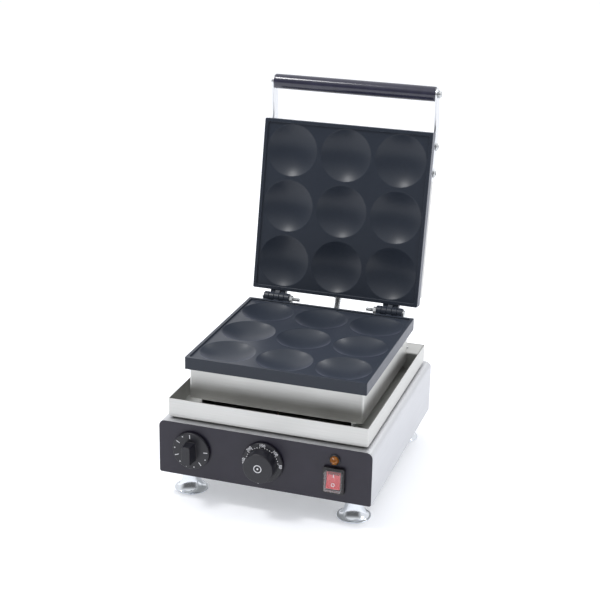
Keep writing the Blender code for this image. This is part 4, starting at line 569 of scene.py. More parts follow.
# %% Control panel
low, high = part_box("control_panel")
front = low.y
panel = block("enamelled_panel", low, high)
rounded(panel, BEND, 10, runs("y", z=high.z))
rounded(panel, 0.003, 5, runs("y", z=low.z))

TIMER = Vector((-0.1054, front, 0.0795))
THERMOSTAT = Vector((0.0003, front, 0.0795))
LAMP = Vector((0.1025, front, 0.1))
SWITCH = Vector((0.1025, front, 0.0702))
SHAFT_HOLE, LAMP_HOLE, THROUGH = 0.0041, 0.0061, 0.02
for centre, radius in ((TIMER, SHAFT_HOLE), (THERMOSTAT, SHAFT_HOLE), (LAMP, LAMP_HOLE)):
    drill(panel, radius, THROUGH, centre, FACING_FRONT)


def at_switch(name, x, z, front_y, back_y):
    """A block centred on the switch, between two depths from the front of the panel."""
    return block(name, SWITCH + Vector((-x, front_y, -z)), SWITCH + Vector((x, back_y, z)))


combine(panel, at_switch("switch_cut", 0.01185, 0.0155, -THROUGH / 2, THROUGH / 2))
soften(panel, 0.0004, 3)
for finish_used in (enamel, steel_deep):
    panel.data.materials.append(finish_used)
for face in panel.data.polygons:
    if abs(face.normal.y) < 0.3 and face.center.y > front + 0.0003:
        face.material_index = 1
fit(panel, "base", enamel, "panel_enamel", "control_panel")
print("panel front at y =", round(front, 4))

# %% [markdown]
# The back is a second flat plate, set inside the folded sheet. It has a row of eight
# upright vents with round ends. One slot is shaped from a block by rounding its edges,
# copied eight times, joined, and cut in one go.

# %% Rear panel
def copies(model, places, turns=None):
    """One piece made of a model at each place, turned about Z where turns are given."""
    made = [
        seat(copied(model), place, (0, 0, turn))
        for place, turn in zip(places, turns or [0] * len(places))
    ]
    discard(model)
    return joined(made)


SLOTS, SLOT_PITCH, SLOT_MIDDLE, SLOT_UP = 8, 0.012, -0.045, 0.078
SLOT_HALF = Vector((0.002, THROUGH / 2, 0.018))
low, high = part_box("rear_panel")
rear = block("rear_cover", low, high)
rounded(rear, BEND - 0.0015, 8, runs("y", z=high.z))
slot = block("slot", -SLOT_HALF, SLOT_HALF)
rounded(slot, 0.00196, 6, runs("y"))
combine(rear, copies(slot, [
    (SLOT_MIDDLE + (i - (SLOTS - 1) / 2) * SLOT_PITCH, low.y, SLOT_UP) for i in range(SLOTS)
]))
GLAND = centre_of("cord_gland")
GLAND.y = low.y
GLAND_HOLE = 0.0082
drill(rear, GLAND_HOLE, THROUGH, GLAND, FACING_FRONT)
soften(rear, 0.0002)
fit(rear, "base", steel_across, "stainless", "rear_panel")
print("rear panel has", len(rear.data.polygons), "faces")

# %% [markdown]
# The feet are turned on a lathe: a flat rim on the table, a flare that draws in to a
# thin neck, and a collar under the body. The profile line is spun once and the foot is
# copied four times, because all four come from the same bar stock.

# %% Turning on a lathe
def line(name, points):
    """A chain of edges through the points, drawn by extruding one vertex, left in edit mode."""
    only()
    bpy.ops.mesh.primitive_plane_add(size=0.001)
    piece = bpy.context.object
    piece.name = name
    bpy.ops.object.mode_set(mode="EDIT")
    bpy.ops.mesh.select_mode(type="VERT")
    bpy.ops.mesh.merge(type="CENTER")
    bpy.ops.transform.translate(value=points[0])
    for before, after in zip(points, points[1:]):
        step = [b - a for a, b in zip(before, after)]
        bpy.ops.mesh.extrude_region_move(TRANSFORM_OT_translate={"value": step})
    bpy.ops.mesh.select_all(action="SELECT")
    return piece


def lathe(name, profile, steps=64):
    """Turns a profile of radius and height about Z, as on a lathe."""
    piece = line(name, [(radius, 0, height) for radius, height in profile])
    bpy.ops.mesh.spin(steps=steps, angle=tau, center=(0, 0, 0), axis=(0, 0, 1))
    bpy.ops.mesh.select_all(action="SELECT")
    bpy.ops.mesh.remove_doubles(threshold=0.000001)
    bpy.ops.mesh.normals_make_consistent(inside=False)
    leave()
    return piece


def turned_ring(name, profile, steps=48):
    """Turns a profile that closes on itself, for a ring or a tube."""
    return lathe(name, profile + profile[:1], steps)


def bezier_shares(t):
    """How much each of the four points of a Bezier curve counts at t, from 0 to 1."""
    return (1 - t) ** 3, 3 * t * (1 - t) ** 2, 3 * t**2 * (1 - t), t**3


print("the lathe is ready")

# %% Feet
FOOT_TOP, FLARE_STEPS = 0.0392, 24
profile = [(0, 0), (0.0236, 0), (0.0242, 0.0006), (0.0242, 0.0016), (0.0238, 0.0020)]
profile.append((0.0216, 0.0021))
flare = (0.0213, 0.0022), (0.0165, 0.0052), (0.0132, 0.0120), (0.0116, 0.0300)
for i in range(FLARE_STEPS + 1):
    parts = bezier_shares(i / FLARE_STEPS)
    profile.append(tuple(sum(p * q[k] for p, q in zip(parts, flare)) for k in (0, 1)))
profile += [(0.0115, 0.0325), (0.0132, 0.0331), (0.0135, 0.0334), (0.0135, 0.0389)]
profile += [(0.0132, FOOT_TOP), (0.004, FOOT_TOP), (0.004, 0.0478), (0.0036, 0.0482), (0, 0.0482)]
model = lathe("foot", profile, 72)
smooth(model, 28)
for row in ("front", "rear"):
    for side in ("left", "right"):
        foot = copied(model, f"turned_foot_{row}_{side}")
        centre = centre_of(f"foot_{row}_{side}")
        seat(foot, (centre.x, centre.y, 0))
        fit(foot, "base", chrome, "chrome", f"foot_{row}_{side}")
discard(model)
print("a foot is", round(profile[-1][1] * 1000, 1), "mm high with its stud")

# %% [markdown]
# ## The tray and the heater box
#
# Both are open boxes of thin sheet. A block is given round upright corners and a rounded
# bottom edge, its top is deleted, and the wall grows inwards. The tray is where spilled
# batter runs to, so it stands round the heater box with a gap on every side.

# %% Drip tray
def open_box(name, low, high, corner, foot):
    """A tray of thin sheet with round corners, open upwards."""
    made = block(name, low, high)
    rounded(made, corner, 5, runs("z"))
    rounded(made, foot, 3, lies("z", low.z))
    opened(made, lambda middle, normal: normal.z > 0.9)
    thicken(made)
    return made


def drilled(piece, places, radius, low, high):
    """Round holes through one sheet, at places in x and y."""
    combine(piece, copies(peg(radius, high - low), [(x, y, (low + high) / 2) for x, y in places]))


low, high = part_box("drip_tray")
tray = open_box("spill_tray", low, high, 0.002, 0.0006)
wire_window(tray, low.z - 0.002, low.z + 0.004)
LEADS, LEAD_HOLE = [(-0.022, 0.068857), (0.022, 0.068857)], 0.0062
drilled(tray, LEADS, LEAD_HOLE, low.z - 0.002, low.z + 0.004)
soften(tray, 0.0003)
fit(tray, "base", steel_across, "stainless", "drip_tray")
TRAY_TOP = high.z
print("tray", [round(v * 1000, 1) for v in high - low], "mm")

# %% [markdown]
# The wires to the lid come up under a cover at the back of the tray. It is a sheet bent
# once, so it is a block with its front top edge bevelled, and only the front and the top
# are kept. Two pan-head screws hold it.

# %% Duct cover and its screws
low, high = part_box("duct_cover")
duct = block("wiring_duct", low, high)
rounded(duct, 0.002, 5, runs("x", z=high.z, y=low.y))
opened(duct, lambda middle, normal: abs(normal.x) > 0.9 or normal.z < -0.9 or normal.y > 0.9)
thicken(duct)
FERRULE_Y, FERRULE_HOLE = centre_of("conduit_ferrule_base").y, 0.0066
drilled(duct, [(0, FERRULE_Y)], FERRULE_HOLE, high.z - 0.004, high.z + 0.004)
soften(duct, 0.0003)
fit(duct, "base", steel_across, "stainless", "duct_cover")


def dome(radius, height, steps=6):
    """Profile of a low domed head, from its rim to its middle."""
    points = [(radius, 0), (radius, height * 0.35)]
    for i in range(1, steps + 1):
        turn = radians(90 * i / steps)
        points.append((radius * cos(turn), height * (0.35 + 0.65 * sin(turn))))
    return points[:-1] + [(0, height)]


def screw(shank, length, head, height, recess="cross"):
    """A domed screw along Z with its head above zero and a driver recess cut into it."""
    profile = [(0, -length), (shank * 0.8, -length), (shank, -length + shank * 0.4), (shank, 0)]
    made = lathe("screw", profile + dome(head, height), 32)
    deep = height * 0.55
    if recess == "cross":
        reach, slit = head * 0.55, head * 0.11
        bar, other = (
            block("bar", (-x, -y, height - deep), (x, y, height * 2))
            for x, y in ((reach, slit), (slit, reach))
        )
        combine(bar, other, "UNION")
    else:
        bar = peg(head * 0.5, height * 2, (0, 0, height * 2 - deep), sides=6)
    combine(made, bar)
    smooth(made, 30)
    return made


PAN_HIGH = 0.0022
model = screw(0.0018, 0.007, 0.0038, PAN_HIGH)
for side in ("left", "right"):
    node = f"duct_screw_{side}"
    made = copied(model, f"pan_screw_{side}")
    centre, top = centre_of(node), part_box(node)[1].z
    seat(made, (centre.x, centre.y, top - PAN_HIGH), (0, 0, 0.4))
    fit(made, "base", zinc, "zinc", node)
discard(model)
print("duct cover screwed down")

# %% [markdown]
# The heater box is deeper and hangs between the tray and the lower plate. A small
# screw on each side holds the shield inside it.

# %% Heater box
low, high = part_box("heater_box")
heater = open_box("heater_shell", low, high, 0.003, 0.0006)
drilled(heater, LEADS, LEAD_HOLE, low.z - 0.002, low.z + 0.004)
soften(heater, 0.0003)
fit(heater, "base", steel_across, "stainless", "heater_box")
SHIELD_SCREW_Y, SHIELD_SCREW_Z = 0.0553, 0.175
model = screw(0.0015, 0.001, 0.0032, 0.0018)
for name, side, turn in SIDES:
    made = copied(model, f"shield_screw_{name}")
    seat(made, (side * (high.x + 0.0001), SHIELD_SCREW_Y, SHIELD_SCREW_Z), turn)
    fit(made, "base", zinc, "zinc")
discard(model)
print("heater box", [round(v * 1000, 1) for v in high - low], "mm")

# %% [markdown]
# ## The cooking plates
#
# Both plates are the same casting, one of them upside down on the lid. A block gets a
# raised rim by insetting its top face and pushing the middle down. Then nine shallow
# hollows are cut, each a cap of a large sphere. The cutter's profile ends in a small
# round, so the lip of each hollow is soft, as a casting needs it to be for the coating
# to hold. The hinge knuckles are drawn from the side, raised and joined on.

# %% One hollow
HOLLOW, DEPTH, PITCH, LIP = 0.040, 0.012, 0.086, 0.0032
ball = (HOLLOW**2 + DEPTH**2) / (2 * DEPTH)
slope = degrees(asin(HOLLOW / ball))
lip_reach = LIP * tan(radians(slope / 2))


def hollow_cutter():
    """A lens with a flared edge, as wide as a hollow and its soft lip."""
    start = asin((HOLLOW - lip_reach * cos(radians(slope))) / ball)
    profile = []
    for i in range(17):
        turn = start * i / 16
        profile.append((ball * sin(turn), ball - DEPTH - ball * cos(turn)))
    for i in range(1, 6):
        turn = radians(slope + (4 - slope) * i / 5)
        out = HOLLOW + lip_reach - LIP * sin(turn)
        profile.append((out, LIP * cos(turn) - LIP))
    rim = HOLLOW + lip_reach + 0.0003
    profile += [(rim, 0.00003), (rim, 0.006), (0, 0.006)]
    return lathe("hollow_cutter", profile, 96)


print("a hollow is part of a ball of", round(ball * 2000), "mm")

# %% Outlines
def raised(name, outline, height):
    """Fills an outline in the XY plane and raises it along Z."""
    piece = line(name, [(a, b, 0) for a, b in outline])
    bpy.ops.mesh.edge_face_add()
    bpy.ops.mesh.extrude_region_move(TRANSFORM_OT_translate={"value": (0, 0, height)})
    bpy.ops.mesh.select_all(action="SELECT")
    bpy.ops.mesh.normals_make_consistent(inside=False)
    leave()
    return piece


def arc(middle, radius, start, end, steps):
    """Points of an arc between two angles in degrees, both ends included."""
    points = []
    for i in range(steps + 1):
        turn = radians(start + (end - start) * i / steps)
        points.append((middle[0] + radius * cos(turn), middle[1] + radius * sin(turn)))
    return points


ALONG_X = (pi / 2, 0, pi / 2)
print("outlines can be drawn and raised")

# %% Plate casting
SIDE, THICK, RIM, RIM_DEEP = 0.2653, 0.018, 0.005, 0.0025
SETBACK, KNUCKLE, LEAN, HEEL = 0.0118, 0.008, radians(11), 0.0165
HINGES, HINGE_WIDE, LEAVES, GAP = 0.182, 0.041, 5, 0.0004
AXIS_LIFT, PIN_BORE, ROOT_TOP, ROOT_LOW = 0.00025, 0.00315, -0.0014, -0.014


def knuckle(heel):
    """A knuckle and its root from the side, as y and z from the hinge axis."""
    root = -SETBACK - 0.003
    points = [(root, ROOT_TOP)]
    if heel:
        across = Vector((sin(LEAN), cos(LEAN)))
        along = Vector((cos(LEAN), -sin(LEAN)))
        rest = across * (SETBACK - 0.0003)
        tip = rest + along * HEEL
        points += arc((0, 0), KNUCKLE, 190, 100, 12) + [tuple(rest + along * 0.0003), tuple(tip)]
        points += [(tip.x, -0.004)] + arc((0, 0), KNUCKLE, -40, -70, 5)
    else:
        points += arc((0, 0), KNUCKLE, 190, -70, 32)
    return points + [(root, ROOT_LOW)]


def casting(name, numbers, heel):
    """A cooking plate with its face at z = 0, its hollows downwards and its hinge at the back."""
    half = SIDE / 2
    plate = block(name, (-half, -half, -THICK), (half, half, 0))
    pick(plate, "FACE", lambda middle, normal: normal.z > 0.9)
    bpy.ops.mesh.inset(thickness=RIM)
    bpy.ops.mesh.extrude_region_move(TRANSFORM_OT_translate={"value": (0, 0, -RIM_DEEP)})
    leave()
    rim = half - RIM / 2
    rounded(plate, 0.002, 4, lambda middle, way: abs(way.z) > 0.9 and abs(middle.x) > rim)
    rounded(plate, 0.003, 4, lambda middle, way: abs(way.z) > 0.9 and abs(middle.x) < rim)
    places = [(x * PITCH, y * PITCH, -RIM_DEEP) for x in (-1, 0, 1) for y in (-1, 0, 1)]
    combine(plate, copies(hollow_cutter(), places))
    wide = (HINGE_WIDE - (LEAVES - 1) * GAP) / LEAVES
    leaves = []
    for side in (-1, 1):
        for number in numbers:
            start = side * HINGES / 2 - HINGE_WIDE / 2 + number * (wide + GAP)
            leaf = raised("knuckle", knuckle(heel and number == 2), wide)
            leaves.append(seat(leaf, (start, half + SETBACK, AXIS_LIFT), ALONG_X))
    combine(plate, joined(leaves), "UNION")
    drill(plate, PIN_BORE, SIDE, (0, half + SETBACK, AXIS_LIFT), FACING_RIGHT)
    soften(plate, 0.0006, 3, 50)
    return plate


lower_plate = casting("cast_plate_lower", (0, 2, 4), True)
PLATE_Y, FACE_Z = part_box("lower_plate")[0].y + SIDE / 2, 0.1999
seat(lower_plate, (0, PLATE_Y, FACE_Z))
fit(lower_plate, "base", coating, "coated_cast", "lower_plate")
print("lower plate:", len(lower_plate.data.polygons), "faces, its middle at y =", round(PLATE_Y, 4))

# %% [markdown]
# ## The lid
#
# The lid is easiest to model shut, lying flat over the lower plate, and then swung open
# about the hinge as the real one is. Here the open angle is 101 degrees, where the heels
# behind the hinge stop it. The upper plate is the same casting turned over, with the
# knuckles that fit between the lower plate's.

# %% Upper plate
OPEN = radians(101)
HINGE = Vector((0, PLATE_Y + SIDE / 2 + SETBACK, FACE_Z + AXIS_LIFT))


def swing_open(piece):
    """Moves a part of the shut lid, modelled about the hinge axis, to where the open lid has it."""
    seat(piece, HINGE, (-OPEN, 0, 0))


upper_plate = casting("cast_plate_upper", (1, 3), False)
seat(upper_plate, (0, -SETBACK - SIDE / 2, AXIS_LIFT), (0, pi, 0))
swing_open(upper_plate)
fit(upper_plate, "lid", coating, "coated_cast", "upper_plate")
print("hinge axis at", [round(v, 5) for v in HINGE])

# %% [markdown]
# The cover on the back of the lid is a pressed pan: round corners, a round edge all
# about, open towards the plate. It is made as the trays were, but the other way up.

# %% Lid cover
COVER_SIDE, COVER_LOW, COVER_HIGH = 0.2543, 0.01855, 0.05825
COVER_BACK, HOSE_Z = -SETBACK - 0.0055, 0.0275
half = COVER_SIDE / 2
cover = block(
    "lid_shell", (-half, COVER_BACK - COVER_SIDE, COVER_LOW), (half, COVER_BACK, COVER_HIGH)
)
rounded(cover, 0.004, 6, runs("z"))
rounded(cover, 0.003, 5, lies("z", COVER_HIGH))
opened(cover, lambda middle, normal: normal.z < -0.9)
thicken(cover)
drill(cover, FERRULE_HOLE, 0.008, (0, COVER_BACK, HOSE_Z), FACING_FRONT)
soften(cover, 0.0003)
swing_open(cover)
fit(cover, "lid", steel_across, "stainless", "lid_cover")
print("cover", round(COVER_SIDE * 1000, 1), "mm square")

# %% [markdown]
# The handle is a round grip between two flat arms, held by a long rod. The arms are
# drawn from the side as one outline, with an arc at each end and one at the bend, then
# raised to the 3 mm of the bar they are cut from.

# %% Handle arms
PLATE_FRONT = -SETBACK - SIDE
GRIP = Vector((0, PLATE_FRONT - 0.05675, 0.0207))
ARM_Z, ARM_WIDE, ARM_END, ARM_THICK, PLAY = 0.038, 0.011, 0.0095, 0.003, 0.0003
rear_end = Vector((PLATE_FRONT + 0.064, ARM_Z))
bend = Vector((PLATE_FRONT - 0.006, ARM_Z))
grip_end = Vector((GRIP.y, GRIP.z))
run = grip_end - bend
heading = degrees(atan2(run.y, run.x)) % 360
skew = degrees(acos((ARM_WIDE - ARM_END) / run.length))
arm_outline = (
    arc(rear_end, ARM_WIDE, -90, 90, 24)
    + arc(bend, ARM_WIDE, 90, heading - skew, 6)
    + arc(grip_end, ARM_END, heading - skew, heading + skew, 24)
    + [(bend.x, bend.y - ARM_WIDE)]
)
BOLTS = (PLATE_FRONT + 0.0221, PLATE_FRONT + 0.063)
inner = half + PLAY
flat_arm = seat(raised("arm", arm_outline, ARM_THICK), turn=ALONG_X)
soften(flat_arm, 0.0004, 2, 50)
arm_screw = screw(0.003, 0.010, 0.006, 0.0035, "socket")
for name, side, turn in SIDES:
    arm = copied(flat_arm, f"flat_arm_{name}")
    seat(arm, (inner if side > 0 else -inner - ARM_THICK, 0, 0))
    swing_open(arm)
    fit(arm, "lid", steel_bar, "stainless", f"handle_arm_{name}")
    for number, y in enumerate(BOLTS, 1):
        bolt = copied(arm_screw, f"arm_screw_{name}_{number}")
        seat(bolt, (side * (inner + ARM_THICK + PLAY), y, ARM_Z), turn)
        swing_open(bolt)
        fit(bolt, "lid", zinc, "zinc", f"arm_bolt_{name}_{number}")
discard(flat_arm)
discard(arm_screw)
print("arms reach", round(-GRIP.y * 1000), "mm from the hinge")

# %% [markdown]
# The grip is a turned bakelite bar with a hole along it for the rod. It is very slightly
# thicker in the middle than at the ends, as turned handles are.

# %% Grip and rod
bore, tip = 0.0044, -half
profile = [(bore, tip), (0.0102, tip), (0.0108, tip + 0.0002), (0.0112, tip + 0.0008)]
for i in range(13):
    share = i / 6 - 1
    profile.append((0.0115 - 0.0002 * share**4, share * (half - 0.003)))
profile += [(r, -z) for r, z in reversed(profile[:4])]
grip = turned_ring("turned_grip", profile, 64)
seat(grip, GRIP, FACING_RIGHT)
swing_open(grip)
smooth(grip)
fit(grip, "lid", bakelite, "grip_black", "handle_grip")

outer = half + 2 * PLAY + ARM_THICK
rod = screw(0.004, 2 * outer + 0.003, 0.0058, 0.0028, "socket")
rod.name = "handle_bolt"
seat(rod, (-outer, GRIP.y, GRIP.z), FACING_LEFT)
swing_open(rod)
fit(rod, "lid", zinc, "zinc", "handle_rod")
profile = [(0.0043, 0), (0.0054, 0), (0.0057, 0.0003), (0.0057, 0.0018)]
profile += arc((0.0027, 0.0018), 0.0030, 0, 80, 8) + [(0, 0.0050), (0, 0.0035), (0.0043, 0.0033)]
nut = turned_ring("cap_nut", profile)
seat(nut, (outer, GRIP.y, GRIP.z), FACING_RIGHT)
swing_open(nut)
smooth(nut)
fit(nut, "lid", zinc, "zinc", "handle_rod_nut")
print("grip is 23 mm thick and", round(half * 2000), "mm long")

# %% [markdown]
# ## Hinge pins
#
# Each hinge turns on a headed pin pushed in from the outside. Its long tail is threaded
# and held by a nut. The thread is drawn as a row of small steps in the profile, 1 mm
# apart, which is enough to catch the light like a real one.

# %% Hinge pins and nuts
PIN, TAIL, THREADS, NUT_HIGH = 0.00285, 0.0168, 15, 0.005
shank_end = HINGE_WIDE + PLAY
tail_end = -shank_end - TAIL
profile = [(0, tail_end), (PIN * 0.75, tail_end)]
for i in range(THREADS):
    z = tail_end + 0.0005 + i * (TAIL - 0.001) / THREADS
    profile += [(PIN, z), (PIN * 0.86, z + 0.0005)]
profile += [(PIN, -shank_end + 0.0004), (PIN, 0)] + dome(0.0055, 0.0035)
chamfer = [(0, -0.0025), (0.0048, -0.0025), (0.0062, -0.0016)]
chamfer += [(r, -z) for r, z in reversed(chamfer)]
threaded_pin = lathe("pin", profile, 32)
smooth(threaded_pin, 30)
hex_nut = peg(0.0058, NUT_HIGH, sides=6)
combine(hex_nut, lathe("chamfer", chamfer, 48), "INTERSECT")
drill(hex_nut, PIN_BORE, NUT_HIGH * 2)
soften(hex_nut, 0.0002, 2, 30)
for name, side, turn in SIDES:
    outer_x = side * (HINGES + HINGE_WIDE) / 2
    inner_x = outer_x - side * (HINGE_WIDE + PLAY + NUT_HIGH / 2)
    pin = copied(threaded_pin, f"threaded_pin_{name}")
    seat(pin, (outer_x + side * PLAY, HINGE.y, HINGE.z), turn)
    fit(pin, "base", zinc, "zinc", f"hinge_pin_{name}")
    nut = seat(copied(hex_nut, f"hex_nut_{name}"), (inner_x, HINGE.y, HINGE.z), turn)
    fit(nut, "base", zinc, "zinc", f"hinge_nut_{name}")
discard(threaded_pin)
discard(hex_nut)
print("pins reach", round((shank_end + TAIL) * 1000, 1), "mm inwards")

# %% [markdown]
# ## The conduit
#
# A ribbed metal hose takes the wires from the duct to the lid. It leaves the duct
# straight up, makes one smooth bend and enters the lid's cover square to it. It is drawn
# as a curve whose radius swells and shrinks along its length, about one rib every 3 mm,
# and then made a mesh.

# %% Ribbed conduit
def on_lid(y, z):
    """Where the open lid has a point of its middle plane."""
    return HINGE + Matrix.Rotation(-OPEN, 3, "X") @ Vector((0, y, z))


INSIDE, FERRULE_TOP, PULL = 0.0006, 0.0105, 0.017
start = Vector((0, FERRULE_Y, TRAY_TOP + INSIDE))
leave_at = Vector((0, FERRULE_Y, TRAY_TOP + FERRULE_TOP))
end = on_lid(COVER_BACK + INSIDE, HOSE_Z)
enter_at = on_lid(COVER_BACK + FERRULE_TOP, HOSE_Z)
into = (end - enter_at).normalized()
bend_points = leave_at, leave_at + Vector((0, 0, PULL)), enter_at - into * PULL, enter_at
spans = (leave_at - start).length, (enter_at - leave_at).length, (end - enter_at).length


def hose_point(share):
    """A point of the hose's middle line, with the straight ends inside the ferrules."""
    along = share * sum(spans)
    if along < spans[0]:
        return start.lerp(leave_at, along / spans[0])
    if along > spans[0] + spans[1]:
        return enter_at.lerp(end, (along - spans[0] - spans[1]) / spans[2])
    parts = bezier_shares((along - spans[0]) / spans[1])
    return sum((point * part for point, part in zip(bend_points, parts)), Vector((0, 0, 0)))


HOSE, RIBS, PER_RIB = 0.0048, 22, 8
steps = RIBS * PER_RIB
only()
bpy.ops.curve.primitive_nurbs_path_add()
hose = bpy.context.object
hose.name = "ribbed_conduit"
path = hose.data
path.splines.clear()
spline = path.splines.new("POLY")
spline.points.add(steps)
for i, point in enumerate(spline.points):
    point.co = (*hose_point(i / steps), 1)
    point.radius = 0.93 + 0.07 * cos(tau * i / PER_RIB)
path.bevel_depth, path.bevel_resolution, path.use_fill_caps = HOSE, 6, True
bpy.ops.object.convert(target="MESH")
seat(hose)
bpy.ops.object.shade_smooth()
hose.data.materials.append(hose_zinc)
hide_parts("conduit")
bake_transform(hose)
print("conduit has", RIBS, "ribs")

# %% [markdown]
# A threaded ferrule sits at each end of the hose. Both are alike, so one is turned, with
# small steps in its profile for the thread, and copied to the duct and to the lid.

# %% Ferrules
bore = 0.0051
profile = [(bore, -0.004), (0.0061, -0.004), (0.0063, -0.0036), (0.0063, 0.0003), (0.0083, 0.0003)]
profile += [(0.0085, 0.0005), (0.0085, 0.0027), (0.0083, 0.003), (0.0070, 0.003)]
for i in range(5):
    z = 0.0036 + i * 0.0013
    profile += [(0.0072, z), (0.0067, z + 0.00065)]
profile += [(0.0067, 0.0104), (0.0064, FERRULE_TOP), (bore, FERRULE_TOP)]
model = turned_ring("ferrule", profile)
smooth(model, 30)
for name in ("base", "lid"):
    ferrule = copied(model, f"threaded_ferrule_{name}")
    if name == "base":
        seat(ferrule, (0, FERRULE_Y, TRAY_TOP))
    else:
        seat(ferrule, (0, COVER_BACK, HOSE_Z), FACING_BACK)
        swing_open(ferrule)
    fit(ferrule, name, zinc, "zinc", f"conduit_ferrule_{name}")
discard(model)
print("ferrules at both ends of the hose")

# %% [markdown]
# ## The timer knob
#
# The clockwork timer has a wide skirt that carries the dial, and a bar across it to
# turn. The skirt is turned and the bar is a block whose front is narrower than its foot,
# because a moulded part needs draft to leave its mould. Both are joined into one, and
# the marks are pad-printed on the skirt: long ones with a dot between each pair.

# %% Timer knob
SKIRT, REACH, INK = 0.006, 0.0245, 0.00012


def skirt(radius):
    """Profile of a knob's skirt from the back of its middle to its front edge."""
    edge = [(-0.0006, 0.0008), (0, 0.0014), (0, SKIRT - 0.0014), (-0.0003, SKIRT - 0.0008)]
    edge += [(-0.0008, SKIRT - 0.0003), (-0.0014, SKIRT)]
    return [(0, 0.0008)] + [(radius + inwards, height) for inwards, height in edge]


BAR_X, BAR_Y, DRAFT = 0.008, 0.014, 0.75
timer = lathe("timer_dial_knob", skirt(0.0275) + [(0, SKIRT)], 96)
bar = block("bar", (-BAR_X, -BAR_Y, SKIRT - 0.001), (BAR_X, BAR_Y, REACH))
pick(bar, "FACE", lambda middle, normal: normal.z > 0.9)
bpy.ops.transform.resize(value=(DRAFT, 1, 1))
leave()
rounded(bar, 0.0022, 5, runs("z"))
combine(timer, bar, "UNION")
soften(timer, 0.0006, 3, 50)
seat(timer, TIMER, FACING_FRONT)
fit(timer, "timer_dial", phenolic, "knob_black", "timer_knob")


def dot(radius, thick=INK):
    """A small printed spot, with a rounded edge as wet ink has."""
    profile = [(0, -thick), (radius, -thick), (radius, 0), (radius * 0.85, thick), (0, thick)]
    return lathe("dot", profile, 20)


def stroke(width, length, thick=INK):
    """A printed bar with round ends, long along Y."""
    made = block("stroke", (-width / 2, -length / 2, -thick), (width / 2, length / 2, thick))
    rounded(made, width * 0.45, 3, runs("z"))
    return made


def printed(name, marks, centre, body, turn=FACING_FRONT):
    """Joins the marks of one dial and gives them to its body."""
    made = joined(marks)
    made.name = name
    seat(made, centre, turn)
    fit(made, body, print_white)


def around(radius, angle, height):
    """A place on a dial, clockwise from the top."""
    turn = radians(angle)
    return radius * sin(turn), radius * cos(turn), height


STROKES, FIRST, APART = 6, -3, 54
turns = [FIRST - APART * i for i in range(STROKES)]
places = [around(0.0222, turn, SKIRT) for turn in turns]
strokes = copies(stroke(0.0011, 0.0062), places, [-radians(turn) for turn in turns])
dots = copies(dot(0.0009), [around(0.0238, turn - APART / 2, SKIRT) for turn in turns[:-1]])
printed("timer_dial_marks", [strokes, dots], TIMER, "timer_dial")
print("timer dial has", STROKES, "strokes with a dot between each pair")

# %% [markdown]
# ## The thermostat knob
#
# Its skirt carries the temperatures and its cap is what the hand turns. Cap and skirt
# are one profile, spun once. The numbers are text made into a mesh, printed in the same
# white as the marks, with small dots for the steps between. A plain ring with a dot in
# its middle closes the front of the cap.

# %% Thermostat knob
profile = skirt(0.0295) + [(0.0222, SKIRT), (0.0218, SKIRT + 0.0004)]
profile += [(0.0214, REACH - 0.0012)] + arc((0.0202, REACH - 0.0012), 0.0012, 15, 90, 5)
thermostat = lathe("thermostat_dial_knob", profile + [(0, REACH)], 96)
seat(thermostat, THERMOSTAT, FACING_FRONT)
smooth(thermostat)
fit(thermostat, "thermostat_dial", phenolic, "knob_black", "thermostat_knob")


def lettering(text, size, place, turn):
    """Figures as a thin mesh with their middle at the place."""
    only()
    bpy.ops.object.text_add()
    made = bpy.context.object
    made.data.body, made.data.size = text, size
    made.data.align_x, made.data.align_y = "CENTER", "CENTER"
    made.data.extrude, made.data.offset, made.data.resolution_u = 0.0001, INK, 3
    bpy.ops.object.convert(target="MESH")
    return seat(made, place, (0, 0, turn))


STEP, DOTS, FIGURES = 45.5, 4, ("250", "200", "150", "100", "50")
turns = [STEP * (i - 2) for i in range(len(FIGURES))]
marks = [
    lettering(figure, 0.0060, around(0.0264, turn, SKIRT), -radians(turn))
    for figure, turn in zip(FIGURES, turns)
]
between = [turn + STEP * (j + 1) / (DOTS + 1) for turn in turns[:-1] for j in range(DOTS)]
marks.append(copies(dot(0.0008), [around(0.0234, turn, SKIRT) for turn in between]))
ring = turned_ring("ring", [
    (0.0046, -0.0001), (0.0058, -0.0001), (0.0058, 0), (0.0056, 0.0001), (0.0048, 0.0001),
    (0.0046, 0),
])
marks += [seat(mark, (0, 0, REACH)) for mark in (ring, dot(0.0014, 0.0001))]
printed("thermostat_dial_marks", marks, THERMOSTAT, "thermostat_dial")
index = stroke(0.0009, 0.0032, 0.0001)
seat(index, around(0.0345, -168, 0.00008), (0, 0, radians(168)))
printed("panel_index", [index], THERMOSTAT, "base")
print("thermostat dial has", len(FIGURES), "figures")
